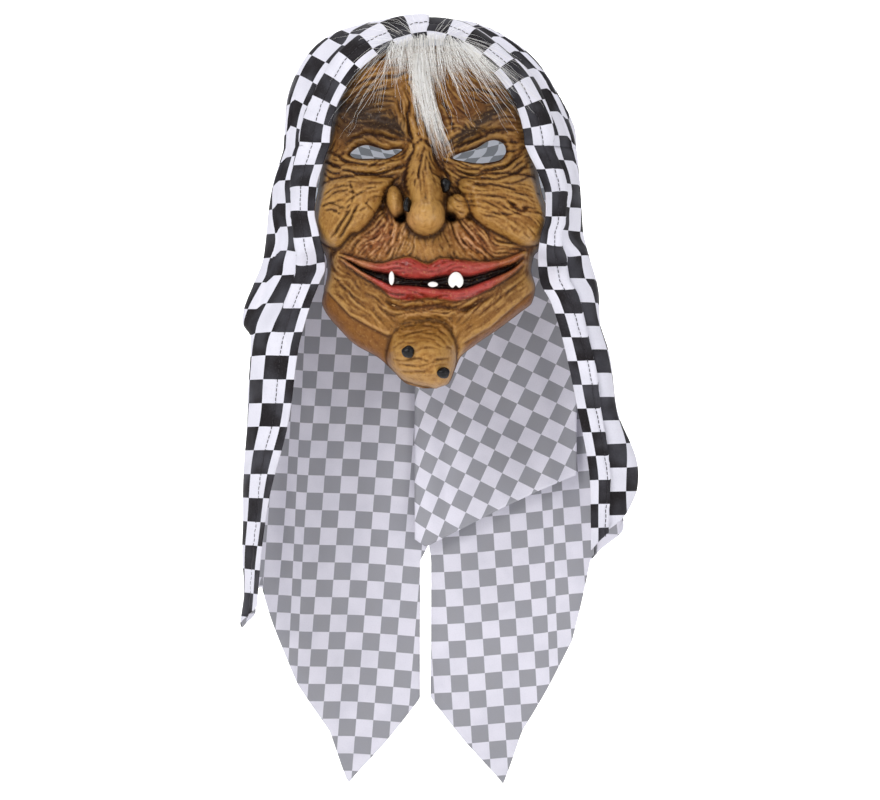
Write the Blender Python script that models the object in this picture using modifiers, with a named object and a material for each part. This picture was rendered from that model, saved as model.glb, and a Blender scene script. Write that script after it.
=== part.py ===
"""Hooded witch mask, at its real size in metres, +Z up, the face looking along -Y.

The origin is the point of the wearer's crown that carries the hood. A latex face shell is
framed by a cloth hood whose sides hang as long drapes. Two pointed panels close the back,
a third panel lies inside them, and a tuft of hair, warts and teeth are set on the face.
"""

import math

import bmesh
import bpy
import numpy as np
from mathutils import Matrix, Vector
from mathutils.bvhtree import BVHTree

# Walls and clearances
CLOTH = 0.0012
LATEX = 0.0020
SEAM_GAP = 0.0004
HEM_GAP = 0.0004
HEM_REACH = 0.0008
SET_GAP = 0.0003
SEAM_LAP = 0.008
HEM_TUCK = 0.008

# Face shell
FACE_HALF_WIDTH = 0.086
FACE_HEIGHT = 0.256
FACE_DROP = 0.0240
FACE_DEPTH = 0.058
FACE_SETBACK = 0.034
FACE_RELIEF = 0.040
FACE_SQUARENESS = 2.5

# Hood and drapes
HOOD_HALF_WIDTH = 0.107
HOOD_HALF_DEPTH = 0.088
HOOD_RISE = 0.098
DRAPE_DROP = 0.492
NAPE_DROP = 0.062
FOLD_DEPTH = 0.008
DOME_STEPS = 9
NAPE_STEPS = 2
DRAPE_STEPS = 15
SLIT_HALF_WIDTH = 0.004
SLIT_OFFSET = -0.0024

# Small pieces
WART_DIAMETER = 0.0085
WART_HEIGHT = 0.0042
TOOTH_THICKNESS = 0.0030
TOOTH_LENGTH = 0.0120
TUFT_THICKNESS = 0.0060
LOCK_WIDTH = 0.0170
TUFT_HALF_WIDTH = 0.040
TUFT_LENGTH = 0.078

# Where a cloth section turns, as shares of the way from the hood's edge to the centre back
OUTER_TURN = 0.22
CORNER_TURN = 0.50
QUARTER_TURN = 0.76

# Sections of the face from its top edge to the chin. left and right are shares of
# FACE_HALF_WIDTH, ridge and edge are shares of FACE_DEPTH in front of FACE_SETBACK.
FACE_COLUMNS = ("down", "left", "right", "ridge", "edge")
FACE_ROWS = (
    (0.00, 0.43, 0.48, 0.55, 0.30),
    (0.02, 0.50, 0.57, 0.70, 0.24),
    (0.05, 0.60, 0.68, 0.84, 0.18),
    (0.09, 0.72, 0.80, 0.93, 0.12),
    (0.15, 0.81, 0.87, 0.98, 0.08),
    (0.23, 0.88, 0.93, 1.00, 0.05),
    (0.32, 0.93, 0.95, 0.96, 0.02),
    (0.43, 0.96, 0.97, 0.93, 0.00),
    (0.50, 0.96, 0.98, 0.93, 0.00),
    (0.57, 0.92, 0.97, 0.94, 0.00),
    (0.63, 0.88, 0.91, 0.96, 0.00),
    (0.70, 0.91, 0.92, 0.95, 0.00),
    (0.765, 0.85, 0.82, 0.92, 0.02),
    (0.82, 0.74, 0.62, 0.90, 0.08),
    (0.87, 0.62, 0.44, 0.90, 0.20),
    (0.91, 0.44, 0.30, 0.90, 0.36),
    (0.95, 0.30, 0.22, 0.90, 0.50),
    (0.985, 0.15, 0.16, 0.86, 0.64),
    (1.00, 0.04, 0.07, 0.82, 0.68),
)

# Rows of the face's grid, closer together where the eyes and the mouth are
BAND_COLUMNS = ("top", "low", "count")
FACE_BANDS = ((0.0, 0.22, 7), (0.22, 0.40, 8), (0.40, 0.62, 8), (0.62, 0.76, 9), (0.76, 1.0, 8))
FACE_STEPS = 28

# Lumps and hollows of the face. across, wide and tall are shares of FACE_HALF_WIDTH, down
# is a share of FACE_HEIGHT, lift a share of FACE_RELIEF, turn is in degrees. bend raises
# the two ends of a long feature, and crisp above 2 gives it a flatter top and a firmer edge.
FEATURE_COLUMNS = ("across", "down", "wide", "tall", "turn", "lift", "bend", "crisp")
FEATURE_ROWS = (
    (-0.45, 0.225, 0.32, 0.11, -12.0, 0.20, 0.00, 2.0),  # left brow
    (0.52, 0.220, 0.36, 0.12, 28.0, 0.22, 0.00, 2.0),  # right brow
    (-0.47, 0.310, 0.31, 0.15, 0.0, -0.26, 0.00, 2.0),  # left eye socket
    (0.47, 0.315, 0.33, 0.16, 12.0, -0.26, 0.00, 2.0),  # right eye socket
    (-0.02, 0.340, 0.14, 0.42, 0.0, 0.50, 0.00, 2.0),  # bridge of the nose
    (-0.03, 0.485, 0.23, 0.26, 0.0, 0.95, 0.00, 3.0),  # tip of the nose
    (-0.27, 0.470, 0.11, 0.16, 12.0, 0.34, 0.00, 2.6),  # left wing of the nose
    (0.24, 0.480, 0.12, 0.14, -12.0, 0.30, 0.00, 2.6),  # right wing of the nose
    (-0.66, 0.495, 0.40, 0.23, 34.0, 0.46, 0.00, 4.4),  # left cheek
    (0.71, 0.480, 0.38, 0.28, -16.0, 0.48, 0.00, 4.4),  # right cheek
    (-0.50, 0.535, 0.34, 0.075, 48.0, -0.16, 0.00, 2.0),  # left fold beside the nose
    (0.45, 0.545, 0.30, 0.075, -46.0, -0.16, 0.00, 2.0),  # right fold beside the nose
    (0.02, 0.660, 0.70, 0.36, 0.0, 0.14, 0.00, 2.4),  # muzzle
    (0.02, 0.655, 0.62, 0.075, 0.0, 0.16, 0.22, 2.4),  # upper lip
    (0.03, 0.737, 0.46, 0.080, 0.0, 0.17, 0.16, 2.4),  # lower lip
    (0.02, 0.694, 0.84, 0.045, 0.0, -0.26, 0.24, 2.6),  # mouth
    (0.03, 0.800, 0.36, 0.070, 0.0, -0.10, 0.00, 2.0),  # crease under the lips
    (-0.06, 0.900, 0.34, 0.30, 0.0, 0.90, 0.00, 3.2),  # knob of the chin
)

# Eye holes. reach is the share of half the width from the inner corner, upper and lower
# are shares of half the width above and below the line of the corners.
EYES = (
    # name, across, down, half width as a share of FACE_HALF_WIDTH, turn, shape
    ("left", -0.445, 0.315, 0.215, 0.0, "narrow"),
    ("right", 0.450, 0.318, 0.225, 12.0, "round"),
)
EYE_COLUMNS = ("reach", "upper", "lower")
EYE_SHAPES = {
    "narrow": ((0.0, 0.0, 0.0), (0.35, 0.12, 0.26), (0.9, 0.14, 0.30), (1.4, 0.42, 0.26), (1.8, 0.20, 0.10), (2.0, 0.0, 0.0)),
    "round": ((0.0, 0.0, 0.0), (0.4, 0.14, 0.18), (0.9, 0.22, 0.44), (1.4, 0.52, 0.44), (1.8, 0.50, 0.26), (2.0, 0.05, 0.05)),
}

# Sections of the drapes from the temples to the tails. down is a share of DRAPE_DROP. edge
# is a share of FACE_HALF_WIDTH, outer and corner of HOOD_HALF_WIDTH, and the depths
# of HOOD_HALF_DEPTH.
DRAPE_COLUMNS = ("down", "edge", "edge_depth", "outer", "outer_depth", "corner", "corner_depth")
DRAPE_ROWS = {
    "left": (
        (0.000, 0.90, -0.62, 1.00, -0.42, 0.93, 0.42),
        (0.075, 0.985, -0.60, 1.07, -0.40, 0.97, 0.42),
        (0.140, 0.985, -0.60, 1.13, -0.40, 1.01, 0.42),
        (0.175, 0.945, -0.68, 1.17, -0.40, 1.04, 0.42),
        (0.215, 0.930, -0.70, 1.23, -0.38, 1.06, 0.42),
        (0.268, 0.990, -0.68, 1.31, -0.32, 1.09, 0.42),
        (0.290, 1.030, -0.67, 1.25, -0.34, 1.10, 0.42),
        (0.380, 1.16, -0.68, 1.27, -0.36, 1.13, 0.42),
        (0.460, 1.26, -0.70, 1.29, -0.36, 1.17, 0.42),
        (0.535, 1.35, -0.73, 1.29, -0.36, 1.20, 0.42),
        (0.610, 1.41, -0.76, 1.285, -0.36, 1.215, 0.42),
        (0.690, 1.44, -0.76, 1.30, -0.36, 1.225, 0.42),
        (1.000, 1.50, -0.70, 1.30, -0.36, 1.20, 0.42),
    ),
    "right": (
        (0.000, 0.90, -0.62, 1.00, -0.42, 0.93, 0.42),
        (0.050, 1.005, -0.60, 1.035, -0.40, 0.96, 0.42),
        (0.110, 1.040, -0.58, 1.09, -0.40, 0.99, 0.42),
        (0.165, 0.980, -0.62, 1.15, -0.40, 1.02, 0.42),
        (0.215, 1.050, -0.62, 1.20, -0.40, 1.05, 0.42),
        (0.280, 1.120, -0.64, 1.25, -0.38, 1.08, 0.42),
        (0.380, 1.235, -0.66, 1.34, -0.36, 1.11, 0.42),
        (0.460, 1.270, -0.68, 1.42, -0.34, 1.14, 0.42),
        (0.520, 1.340, -0.70, 1.49, -0.32, 1.17, 0.42),
        (0.620, 1.410, -0.72, 1.50, -0.32, 1.19, 0.42),
        (1.000, 1.410, -0.70, 1.50, -0.32, 1.17, 0.42),
    ),
}

# How far back the middle of the back lies, as a share of HOOD_HALF_DEPTH
BACK_COLUMNS = ("down", "depth")
BACK_ROWS = ((0.00, 1.00), (0.08, 0.95), (0.14, 0.89), (0.25, 0.78), (0.40, 0.70), (0.60, 0.64), (1.00, 0.62))

# The hem, as the share of DRAPE_DROP that hangs below the temples at each share of the way
# from the hood's edge to the centre back
HEM_COLUMNS = ("along", "down")
HEM_ROWS = {
    "left": (
        (0.00, 0.700), (0.11, 0.722), (0.22, 0.738), (0.36, 0.700), (0.50, 0.683), (0.56, 0.755),
        (0.635, 0.840), (0.735, 0.917), (0.79, 1.000), (0.895, 0.935), (1.00, 0.862),
    ),
    "right": (
        (0.00, 0.615), (0.11, 0.570), (0.22, 0.515), (0.36, 0.580), (0.50, 0.640), (0.57, 0.770),
        (0.645, 0.835), (0.745, 0.917), (0.80, 1.000), (0.90, 0.935), (1.00, 0.862),
    ),
}
SLIT_TOP = 0.620
SLIT_FULL = 0.645

# The dome above the temples. height is the share of HOOD_RISE that the dome's top stands
# above the temples, and the two squareness columns shape its left and right shoulders.
DOME_COLUMNS = ("along", "height", "left_squareness", "right_squareness")
DOME_ROWS = (
    (0.00, 0.715, 2.0, 2.2),
    (0.08, 0.880, 2.3, 2.1),
    (0.22, 0.990, 2.8, 2.0),
    (0.36, 1.000, 2.7, 2.0),
    (0.50, 0.930, 2.4, 2.0),
    (0.62, 0.770, 2.3, 2.0),
    (0.76, 0.550, 2.2, 2.0),
    (0.88, 0.330, 2.0, 2.0),
    (1.00, 0.200, 2.0, 2.0),
)

# Long folds that run down the cloth. along and width are shares of the way to the centre
# back, from and to are shares of DRAPE_DROP, negative above the temples, and depth is a
# share of FOLD_DEPTH, positive where the cloth goes in.
CREASE_COLUMNS = ("along", "width", "start", "end", "depth")
CREASE_ROWS = {
    "left": (
        (0.105, 0.038, 0.10, 0.90, 0.60),
        (0.30, 0.050, 0.05, 1.00, 0.80),
        (0.42, 0.045, 0.10, 1.00, -0.60),
        (0.62, 0.055, 0.25, 1.00, 0.55),
        (0.80, 0.060, 0.20, 1.00, -0.50),
    ),
    "right": (
        (0.075, 0.028, 0.12, 0.90, 0.75),
        (0.29, 0.050, 0.05, 1.00, 0.80),
        (0.41, 0.045, 0.10, 1.00, -0.60),
        (0.63, 0.055, 0.25, 1.00, 0.55),
        (0.81, 0.060, 0.20, 1.00, -0.50),
    ),
}

# The inner panel's lower edge. across is a share of HOOD_HALF_WIDTH, down of DRAPE_DROP.
INNER_COLUMNS = ("across", "down")
INNER_ROWS = ((-0.10, 0.612), (-0.02, 0.618), (0.19, 0.560), (0.43, 0.520), (0.75, 0.502), (1.00, 0.480))
INNER_TOP = 0.150

# Locks of the hair tuft, left to right. root, bend and tip are places across as shares of
# TUFT_HALF_WIDTH, bend_down and tip_down are shares of TUFT_LENGTH, wide is a share of
# LOCK_WIDTH.
LOCK_COLUMNS = ("root", "bend", "bend_down", "tip", "tip_down", "wide")
LOCK_ROWS = (
    (-0.50, -0.62, 0.20, -0.72, 0.50, 0.70),
    (-0.34, -0.42, 0.28, -0.46, 0.62, 0.90),
    (-0.16, -0.16, 0.26, -0.06, 0.58, 1.00),
    (-0.02, 0.02, 0.50, 0.40, 0.95, 0.85),
    (0.20, 0.30, 0.24, 0.38, 0.56, 1.00),
    (0.40, 0.60, 0.26, 0.74, 0.62, 1.00),
    (0.58, 0.90, 0.24, 1.10, 0.57, 1.00),
    (0.76, 1.18, 0.20, 1.42, 0.55, 0.90),
    (0.90, 1.42, 0.15, 1.70, 0.48, 0.70),
)
TUFT_TOP_DROP = 0.026

# Warts as (name, across, down) in shares of the face's sizes, and teeth as
# (name, across, down, width as a share of TOOTH_LENGTH, length as the same, lobes)
WARTS = (
    ("nose_wart_upper", 0.150, 0.413),
    ("nose_wart_side", -0.170, 0.470),
    ("chin_wart_left", -0.170, 0.888),
    ("chin_wart_right", 0.145, 0.940),
)
TEETH = (
    ("tooth_left", -0.300, 0.680, 0.34, 0.85, 1),
    ("tooth_lower", 0.045, 0.708, 0.62, 0.36, 1),
    ("tooth_right", 0.235, 0.690, 0.95, 1.00, 2),
)

COLOURS = {
    "latex": (0.55, 0.36, 0.16, 1.0, 0.5),
    "checked_cloth": (0.60, 0.60, 0.66, 1.0, 0.7),
    "hair": (0.88, 0.87, 0.84, 1.0, 0.6),
    "wart_paint": (0.02, 0.02, 0.03, 1.0, 0.25),
    "tooth_paint": (0.90, 0.90, 0.88, 1.0, 0.35),
}


def column(columns, rows, name):
    """One named column of a table."""
    place = columns.index(name)
    return np.array([row[place] for row in rows], float)


def smooth(knots, values, at):
    """A smooth curve through a table's values that doesn't overshoot them."""
    steps = np.diff(knots)
    slopes = np.diff(values) / steps
    inner = np.where(
        slopes[1:] * slopes[:-1] > 0,
        2.0 * slopes[1:] * slopes[:-1] / (slopes[1:] + slopes[:-1] + 1e-12),
        0.0,
    )
    ends = np.concatenate(([slopes[0]], inner, [slopes[-1]]))
    at = np.clip(at, knots[0], knots[-1])
    span = np.clip(np.searchsorted(knots, at, side="right") - 1, 0, len(steps) - 1)
    share = (at - knots[span]) / steps[span]
    square, cube = share**2, share**3
    return (
        (2 * cube - 3 * square + 1) * values[span]
        + (cube - 2 * square + share) * steps[span] * ends[span]
        + (3 * square - 2 * cube) * values[span + 1]
        + (cube - square) * steps[span] * ends[span + 1]
    )


def looked_up(columns, rows, name, at):
    """A smoothly interpolated value of one table column, at a value of the first column."""
    return smooth(column(columns, rows, columns[0]), column(columns, rows, name), at)


# Face shell

def face_level(z):
    return (-FACE_DROP - z) / FACE_HEIGHT


def face_half_width(x, z):
    level = face_level(z)
    left = looked_up(FACE_COLUMNS, FACE_ROWS, "left", level)
    right = looked_up(FACE_COLUMNS, FACE_ROWS, "right", level)
    return FACE_HALF_WIDTH * np.where(x < 0, left, right)


def face_lumps(x, z):
    """How far the face's lumps stand forward of its plain shell."""
    total = np.zeros(np.broadcast(x, z).shape)
    for across, down, wide, tall, turn, lift, bend, crisp in FEATURE_ROWS:
        east = x - across * FACE_HALF_WIDTH
        north = z + FACE_DROP + down * FACE_HEIGHT
        angle = math.radians(turn)
        along = (east * math.cos(angle) + north * math.sin(angle)) / (wide * FACE_HALF_WIDTH)
        up = (north * math.cos(angle) - east * math.sin(angle)) / FACE_HALF_WIDTH
        off = (up - bend * along**2) / tall
        radius = np.sqrt(along**2 + off**2)
        total = total + lift * FACE_RELIEF * np.exp(-(radius**crisp))
    return total


def face_depth(x, z):
    """The face's outer surface as y, from its place across and its height."""
    level = face_level(z)
    ridge = looked_up(FACE_COLUMNS, FACE_ROWS, "ridge", level)
    edge = looked_up(FACE_COLUMNS, FACE_ROWS, "edge", level)
    out = np.clip(np.abs(x) / face_half_width(x, z), 0.0, 1.0)
    arch = (1.0 - out**FACE_SQUARENESS) ** (1.0 / FACE_SQUARENESS)
    fade = np.clip((1.0 - out) * 12.0, 0.0, 1.0)
    plain = FACE_SETBACK + FACE_DEPTH * (edge + (ridge - edge) * arch)
    return -plain - fade * face_lumps(x, z)


def new_material(name):
    red, green, blue, alpha, roughness = COLOURS[name]
    material = bpy.data.materials.new(name)
    material.use_nodes = True
    shader = material.node_tree.nodes["Principled BSDF"]
    shader.inputs["Base Color"].default_value = (red, green, blue, alpha)
    shader.inputs["Roughness"].default_value = roughness
    shader.inputs["Metallic"].default_value = 0.0
    return material


def new_object(name, mesh, material, collection):
    part = bpy.data.objects.new(name, mesh)
    if material:
        mesh.materials.append(material)
    collection.objects.link(part)
    return part


def sheet_mesh(name, points, used=None):
    """A mesh through a grid of points, with only the cells that used accepts."""
    rows, columns = len(points), len(points[0])
    form = bmesh.new()
    corners = [[form.verts.new(point) for point in row] for row in points]
    for row in range(rows - 1):
        for place in range(columns - 1):
            if used is None or used(row, place):
                form.faces.new(
                    (
                        corners[row][place],
                        corners[row + 1][place],
                        corners[row + 1][place + 1],
                        corners[row][place + 1],
                    )
                )
    bmesh.ops.remove_doubles(form, verts=form.verts, dist=0.00002)
    loose = [vertex for vertex in form.verts if not vertex.link_faces]
    bmesh.ops.delete(form, geom=loose, context="VERTS")
    mesh = bpy.data.meshes.new(name)
    form.to_mesh(mesh)
    form.free()
    mesh.shade_smooth()
    return mesh


def add_wall(part, thickness, offset):
    """Gives an open sheet its wall, to the side that offset picks."""
    wall = part.modifiers.new("wall", "SOLIDIFY")
    wall.thickness = thickness
    wall.offset = offset
    wall.use_even_offset = True
    wall.use_quality_normals = True
    wall.thickness_clamp = 0.6


def prism(name, outline, near, far, collection):
    """A closed straight prism along Y from a flat outline of (x, z) points."""
    form = bmesh.new()
    base = form.faces.new([form.verts.new((x, near, z)) for x, z in outline])
    made = bmesh.ops.extrude_face_region(form, geom=[base])
    moved = [item for item in made["geom"] if isinstance(item, bmesh.types.BMVert)]
    bmesh.ops.translate(form, verts=moved, vec=(0.0, far - near, 0.0))
    bmesh.ops.recalc_face_normals(form, faces=form.faces)
    mesh = bpy.data.meshes.new(name)
    form.to_mesh(mesh)
    form.free()
    return new_object(name, mesh, None, collection)


def eye_outline(across, down, half_width, turn, shape):
    """The points of one eye hole, over the top from the inner corner and back below."""
    rows = EYE_SHAPES[shape]
    reach = 1.0 - np.cos(np.linspace(0.0, math.pi, 13))
    upper = looked_up(EYE_COLUMNS, rows, "upper", reach)
    lower = looked_up(EYE_COLUMNS, rows, "lower", reach)
    half = half_width * FACE_HALF_WIDTH
    outward = math.copysign(1.0, across)
    centre_x = across * FACE_HALF_WIDTH
    centre_z = -FACE_DROP - down * FACE_HEIGHT
    angle = math.radians(turn)
    loop = list(zip(reach, upper)) + list(zip(reach[-2:0:-1], -lower[-2:0:-1]))
    points = []
    for out, rise in loop:
        x = outward * (out - 1.0) * half
        z = rise * half
        points.append(
            (
                centre_x + x * math.cos(angle) - z * math.sin(angle),
                centre_z + x * math.sin(angle) + z * math.cos(angle),
            )
        )
    return points


def build_face(collection, cutters):
    levels = [0.0]
    for top, low, count in FACE_BANDS:
        levels += stops(top, low, count)[1:]
    points = []
    for level in levels:
        z = -FACE_DROP - level * FACE_HEIGHT
        row = []
        for turn in stops(-1.0, 1.0, FACE_STEPS):
            side = turn * (1.18 - 0.18 * turn**2)
            x = float(side * face_half_width(side, z))
            row.append((x, float(face_depth(x, z)), z))
        points.append(row)
    face = new_object("mask_face", sheet_mesh("mask_face", points), new_material("latex"), collection)
    add_wall(face, LATEX, -1.0)
    front = -FACE_SETBACK - FACE_DEPTH - 2.0 * FACE_RELIEF
    for name, across, down, half_width, turn, shape in EYES:
        outline = eye_outline(across, down, half_width, turn, shape)
        cutter = prism("eye_cutter_" + name, outline, front, -FACE_SETBACK / 2, cutters)
        cutter.hide_render = True
        cutter.display_type = "WIRE"
        cut = face.modifiers.new("eye_" + name, "BOOLEAN")
        cut.operation = "DIFFERENCE"
        cut.object = cutter
    return face


# Rays from the front, to seat one piece on another

def surface_of(part):
    bpy.context.view_layer.update()
    return BVHTree.FromObject(part, bpy.context.evaluated_depsgraph_get())


def depth_in_front(surfaces, x, z, spread=0.0, rise=None):
    """The y of the foremost surface at this place, or within spread of it, or None."""
    rise = spread if rise is None else rise
    found = []
    for step_x in np.linspace(-spread, spread, 5) if spread else (0.0,):
        for step_z in np.linspace(-rise, rise, 5) if rise else (0.0,):
            for surface in surfaces:
                hit = surface.ray_cast(Vector((x + step_x, -1.0, z + step_z)), Vector((0, 1, 0)))
                if hit[0] is not None:
                    found.append(hit[0].y)
    return min(found) if found else None


# Cloth

def drape_z(level):
    return -HOOD_RISE - level * DRAPE_DROP


def drape_level(z):
    return np.maximum(0.0, (-HOOD_RISE - z) / DRAPE_DROP)


def section_value(side, name, level):
    return float(looked_up(DRAPE_COLUMNS, DRAPE_ROWS[side], name, level))


def slit_reach(side, z):
    """How far the centre-back edge of a side stands from the middle at this height."""
    opened = np.clip((float(drape_level(z)) - SLIT_TOP) / (SLIT_FULL - SLIT_TOP), 0.0, 1.0)
    sign = -1.0 if side == "left" else 1.0
    return opened * (SLIT_OFFSET + sign * SLIT_HALF_WIDTH)


def section_points(side, z, edge_depth):
    """The five points that a level section of one side passes through, as (x, y)."""
    level = float(drape_level(z))
    sign = -1.0 if side == "left" else 1.0
    corner = sign * section_value(side, "corner", level) * HOOD_HALF_WIDTH
    corner_depth = section_value(side, "corner_depth", level) * HOOD_HALF_DEPTH
    back_depth = float(looked_up(BACK_COLUMNS, BACK_ROWS, "depth", level)) * HOOD_HALF_DEPTH
    return (
        (sign * section_value(side, "edge", level) * FACE_HALF_WIDTH, edge_depth),
        (
            sign * section_value(side, "outer", level) * HOOD_HALF_WIDTH,
            section_value(side, "outer_depth", level) * HOOD_HALF_DEPTH,
        ),
        (corner, corner_depth),
        (corner * 0.55, corner_depth + (back_depth - corner_depth) * 0.86),
        (slit_reach(side, z), back_depth),
    )


def along_section(points, along):
    """A point of a section, with its direction, as a smooth curve through its points."""
    knots = np.array((0.0, OUTER_TURN, CORNER_TURN, QUARTER_TURN, 1.0))
    places = np.array(points, float)
    slopes = np.zeros_like(places)
    slopes[1:-1] = (places[2:] - places[:-2]) / (knots[2:] - knots[:-2])[:, None]
    slopes[0] = (places[1] - places[0]) / (knots[1] - knots[0])
    slopes[-1] = np.array((slopes[-2][0], 0.0))
    span = min(int(np.searchsorted(knots, along, side="right")) - 1, len(knots) - 2)
    step = knots[span + 1] - knots[span]
    share = (along - knots[span]) / step
    square, cube = share**2, share**3
    place = (
        (2 * cube - 3 * square + 1) * places[span]
        + (cube - 2 * square + share) * step * slopes[span]
        + (3 * square - 2 * cube) * places[span + 1]
        + (cube - square) * step * slopes[span + 1]
    )
    pace = (
        (6 * square - 6 * share) * (places[span] - places[span + 1]) / step
        + (3 * square - 4 * share + 1) * slopes[span]
        + (3 * square - 2 * share) * slopes[span + 1]
    )
    return place, pace / np.linalg.norm(pace)


def crease_depth(side, along, level):
    """How far the folds push the cloth in at this place."""
    total = 0.0
    for place, width, start, end, depth in CREASE_ROWS[side]:
        ramp = np.clip((level - start) / 0.12, 0.0, 1.0) * np.clip((end - level) / 0.12 + 1.0, 0.0, 1.0)
        total += depth * ramp * math.exp(-(((along - place) / width) ** 2))
    return total * FOLD_DEPTH


class HoodEdge:
    """Where the hood's front edge lies on the face, found once for each height."""

    def __init__(self, face_surface):
        self.surface = face_surface

    def depth(self, side, x, z, level):
        loose = section_value(side, "edge_depth", level) * HOOD_HALF_DEPTH
        seat = depth_in_front((self.surface,), x, z, HEM_REACH)
        return loose if seat is None else min(loose, seat - HEM_GAP)


def drape_point(hood_edge, side, along, z, inset=0.0):
    """A point of the hanging cloth below the temples, moved inwards by inset."""
    level = float(drape_level(z))
    sign = -1.0 if side == "left" else 1.0
    edge_x = sign * section_value(side, "edge", level) * FACE_HALF_WIDTH
    points = section_points(side, z, hood_edge.depth(side, edge_x, z, level))
    place, pace = along_section(points, along)
    inward = np.array((-pace[1], pace[0])) * sign
    moved = place + inward * (inset + crease_depth(side, along, level))
    if along >= 1.0:
        moved[0] = place[0]
    return Vector((float(moved[0]), float(moved[1]), float(z)))


def dome_point(hood_edge, side, along, turn):
    """A point of the dome over the head, where turn is 0 at the top and 1 at the temples."""
    sign = -1.0 if side == "left" else 1.0
    rim = drape_point(hood_edge, side, along, -HOOD_RISE)
    power = 2.0 / float(looked_up(DOME_COLUMNS, DOME_ROWS, side + "_squareness", along))
    top = float(looked_up(DOME_COLUMNS, DOME_ROWS, "height", along)) * HOOD_RISE
    angle = turn * math.pi / 2
    x = rim.x * math.sin(angle) ** power
    z = -HOOD_RISE + top * max(math.cos(angle), 0.0) ** power
    y = rim.y
    front = max(0.0, 1.0 - along / OUTER_TURN)
    if front > 0.0:
        loose = section_value(side, "edge_depth", 0.0) * HOOD_HALF_DEPTH
        seat = depth_in_front((hood_edge.surface,), rim_edge_x(side) * math.sin(angle) ** power, edge_z(side, turn), HEM_REACH)
        edge_y = loose if seat is None else min(loose, seat - HEM_GAP)
        at_rim = hood_edge.depth(side, sign * section_value(side, "edge", 0.0) * FACE_HALF_WIDTH, -HOOD_RISE, 0.0)
        y += (edge_y - at_rim) * front**1.3
    return Vector((x, y, z))


def rim_edge_x(side):
    sign = -1.0 if side == "left" else 1.0
    return sign * section_value(side, "edge", 0.0) * FACE_HALF_WIDTH


def edge_z(side, turn):
    """The height of the hood's front edge on the dome."""
    power = 2.0 / float(looked_up(DOME_COLUMNS, DOME_ROWS, side + "_squareness", 0.0))
    top = float(looked_up(DOME_COLUMNS, DOME_ROWS, "height", 0.0)) * HOOD_RISE
    return -HOOD_RISE + top * max(math.cos(turn * math.pi / 2), 0.0) ** power


def hem_level(side, along):
    rows = HEM_ROWS[side]
    return float(np.interp(along, column(HEM_COLUMNS, rows, "along"), column(HEM_COLUMNS, rows, "down")))


def hem_z(side, along):
    return drape_z(hem_level(side, along))


def stops(first, last, count):
    return list(np.linspace(first, last, count + 1))


def lap_stops():
    """Where the lap of a side seam starts and ends along a section."""
    half = SEAM_LAP / HOOD_HALF_WIDTH / 4
    return [CORNER_TURN - half, CORNER_TURN + half]


def back_stops(side):
    """Columns of the back, with one at every corner of its hem."""
    return [along for along, _ in HEM_ROWS[side] if along > lap_stops()[1]]


def drape_heights(side, along):
    """Row heights from the top of the nape's lap down to the hem."""
    nape = -HOOD_RISE - NAPE_DROP
    low = hem_z(side, along)
    return [nape + SEAM_LAP] + [nape + share * (low - nape) for share in stops(0.0, 1.0, DRAPE_STEPS)]


def build_hood(hood_edge, collection):
    """One sheet over the crown, from the left hem over the top to the right hem."""
    front_stops = [0.0, 0.035, 0.075, 0.11, 0.16, 0.22, 0.29, 0.36, 0.43]
    split = len(front_stops) + 1

    def side_rows(side):
        along_stops = front_stops + lap_stops() + back_stops(side)
        rows = []
        for turn in stops(0.0, 1.0, DOME_STEPS)[:-1]:
            rows.append([dome_point(hood_edge, side, along, turn) for along in along_stops])
        for share in stops(0.0, 1.0, NAPE_STEPS)[:-1]:
            z = -HOOD_RISE - share * (NAPE_DROP - SEAM_LAP)
            rows.append([drape_point(hood_edge, side, along, z) for along in along_stops])
        heights = [drape_heights(side, along) for along in along_stops]
        for number in range(DRAPE_STEPS + 2):
            levels = [column_heights[number] for column_heights in heights]
            rows.append([drape_point(hood_edge, side, along, z) for along, z in zip(along_stops, levels)])
        return rows

    left, right = side_rows("left"), side_rows("right")
    points = left[::-1] + right[1:]
    closed_rows = DOME_STEPS + NAPE_STEPS + 1
    middle = len(left) - 1

    def used(row, place):
        from_top = middle - 1 - row if row < middle else row - middle
        return from_top < closed_rows or place < split

    hood = new_object("hood", sheet_mesh("hood", points, used), new_material("checked_cloth"), collection)
    add_wall(hood, CLOTH, 1.0)
    return hood


def build_back_panel(hood_edge, side, collection, material):
    name = "back_panel_" + side
    inset = CLOTH + SEAM_GAP
    sign = -1.0 if side == "left" else 1.0
    columns = []
    for along in lap_stops() + back_stops(side):
        heights = drape_heights(side, along)
        line = [drape_point(hood_edge, side, along, z, inset) for z in heights]
        if along >= 1.0:
            for place in line:
                place.x += sign * SEAM_GAP
        columns.append(line)
    points = [list(row) for row in zip(*columns)]
    panel = new_object(name, sheet_mesh(name, points), material, collection)
    add_wall(panel, CLOTH, sign)
    return panel


def build_inner_panel(back_surfaces, collection, material):
    """The panel that lies in front of the back panels and ends in a slanting edge."""
    across = [share * HOOD_HALF_WIDTH for share in (-0.10, -0.02, 0.08, 0.19, 0.31, 0.43, 0.59, 0.75, 0.88, 1.0)]
    hem = np.interp(
        across,
        column(INNER_COLUMNS, INNER_ROWS, "across") * HOOD_HALF_WIDTH,
        column(INNER_COLUMNS, INNER_ROWS, "down"),
    )
    rows = 10
    points = []
    for share in stops(0.0, 1.0, rows):
        row = []
        for x, level in zip(across, hem):
            z = drape_z(INNER_TOP + share * (level - INNER_TOP))
            back = depth_in_front(back_surfaces, x, z, 0.006, 0.012)
            row.append(Vector((x, back - SEAM_GAP, z)))
        points.append(row)
    panel = new_object("inner_panel", sheet_mesh("inner_panel", points), material, collection)
    add_wall(panel, CLOTH, 1.0)
    return panel


# Small pieces on the face

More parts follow.
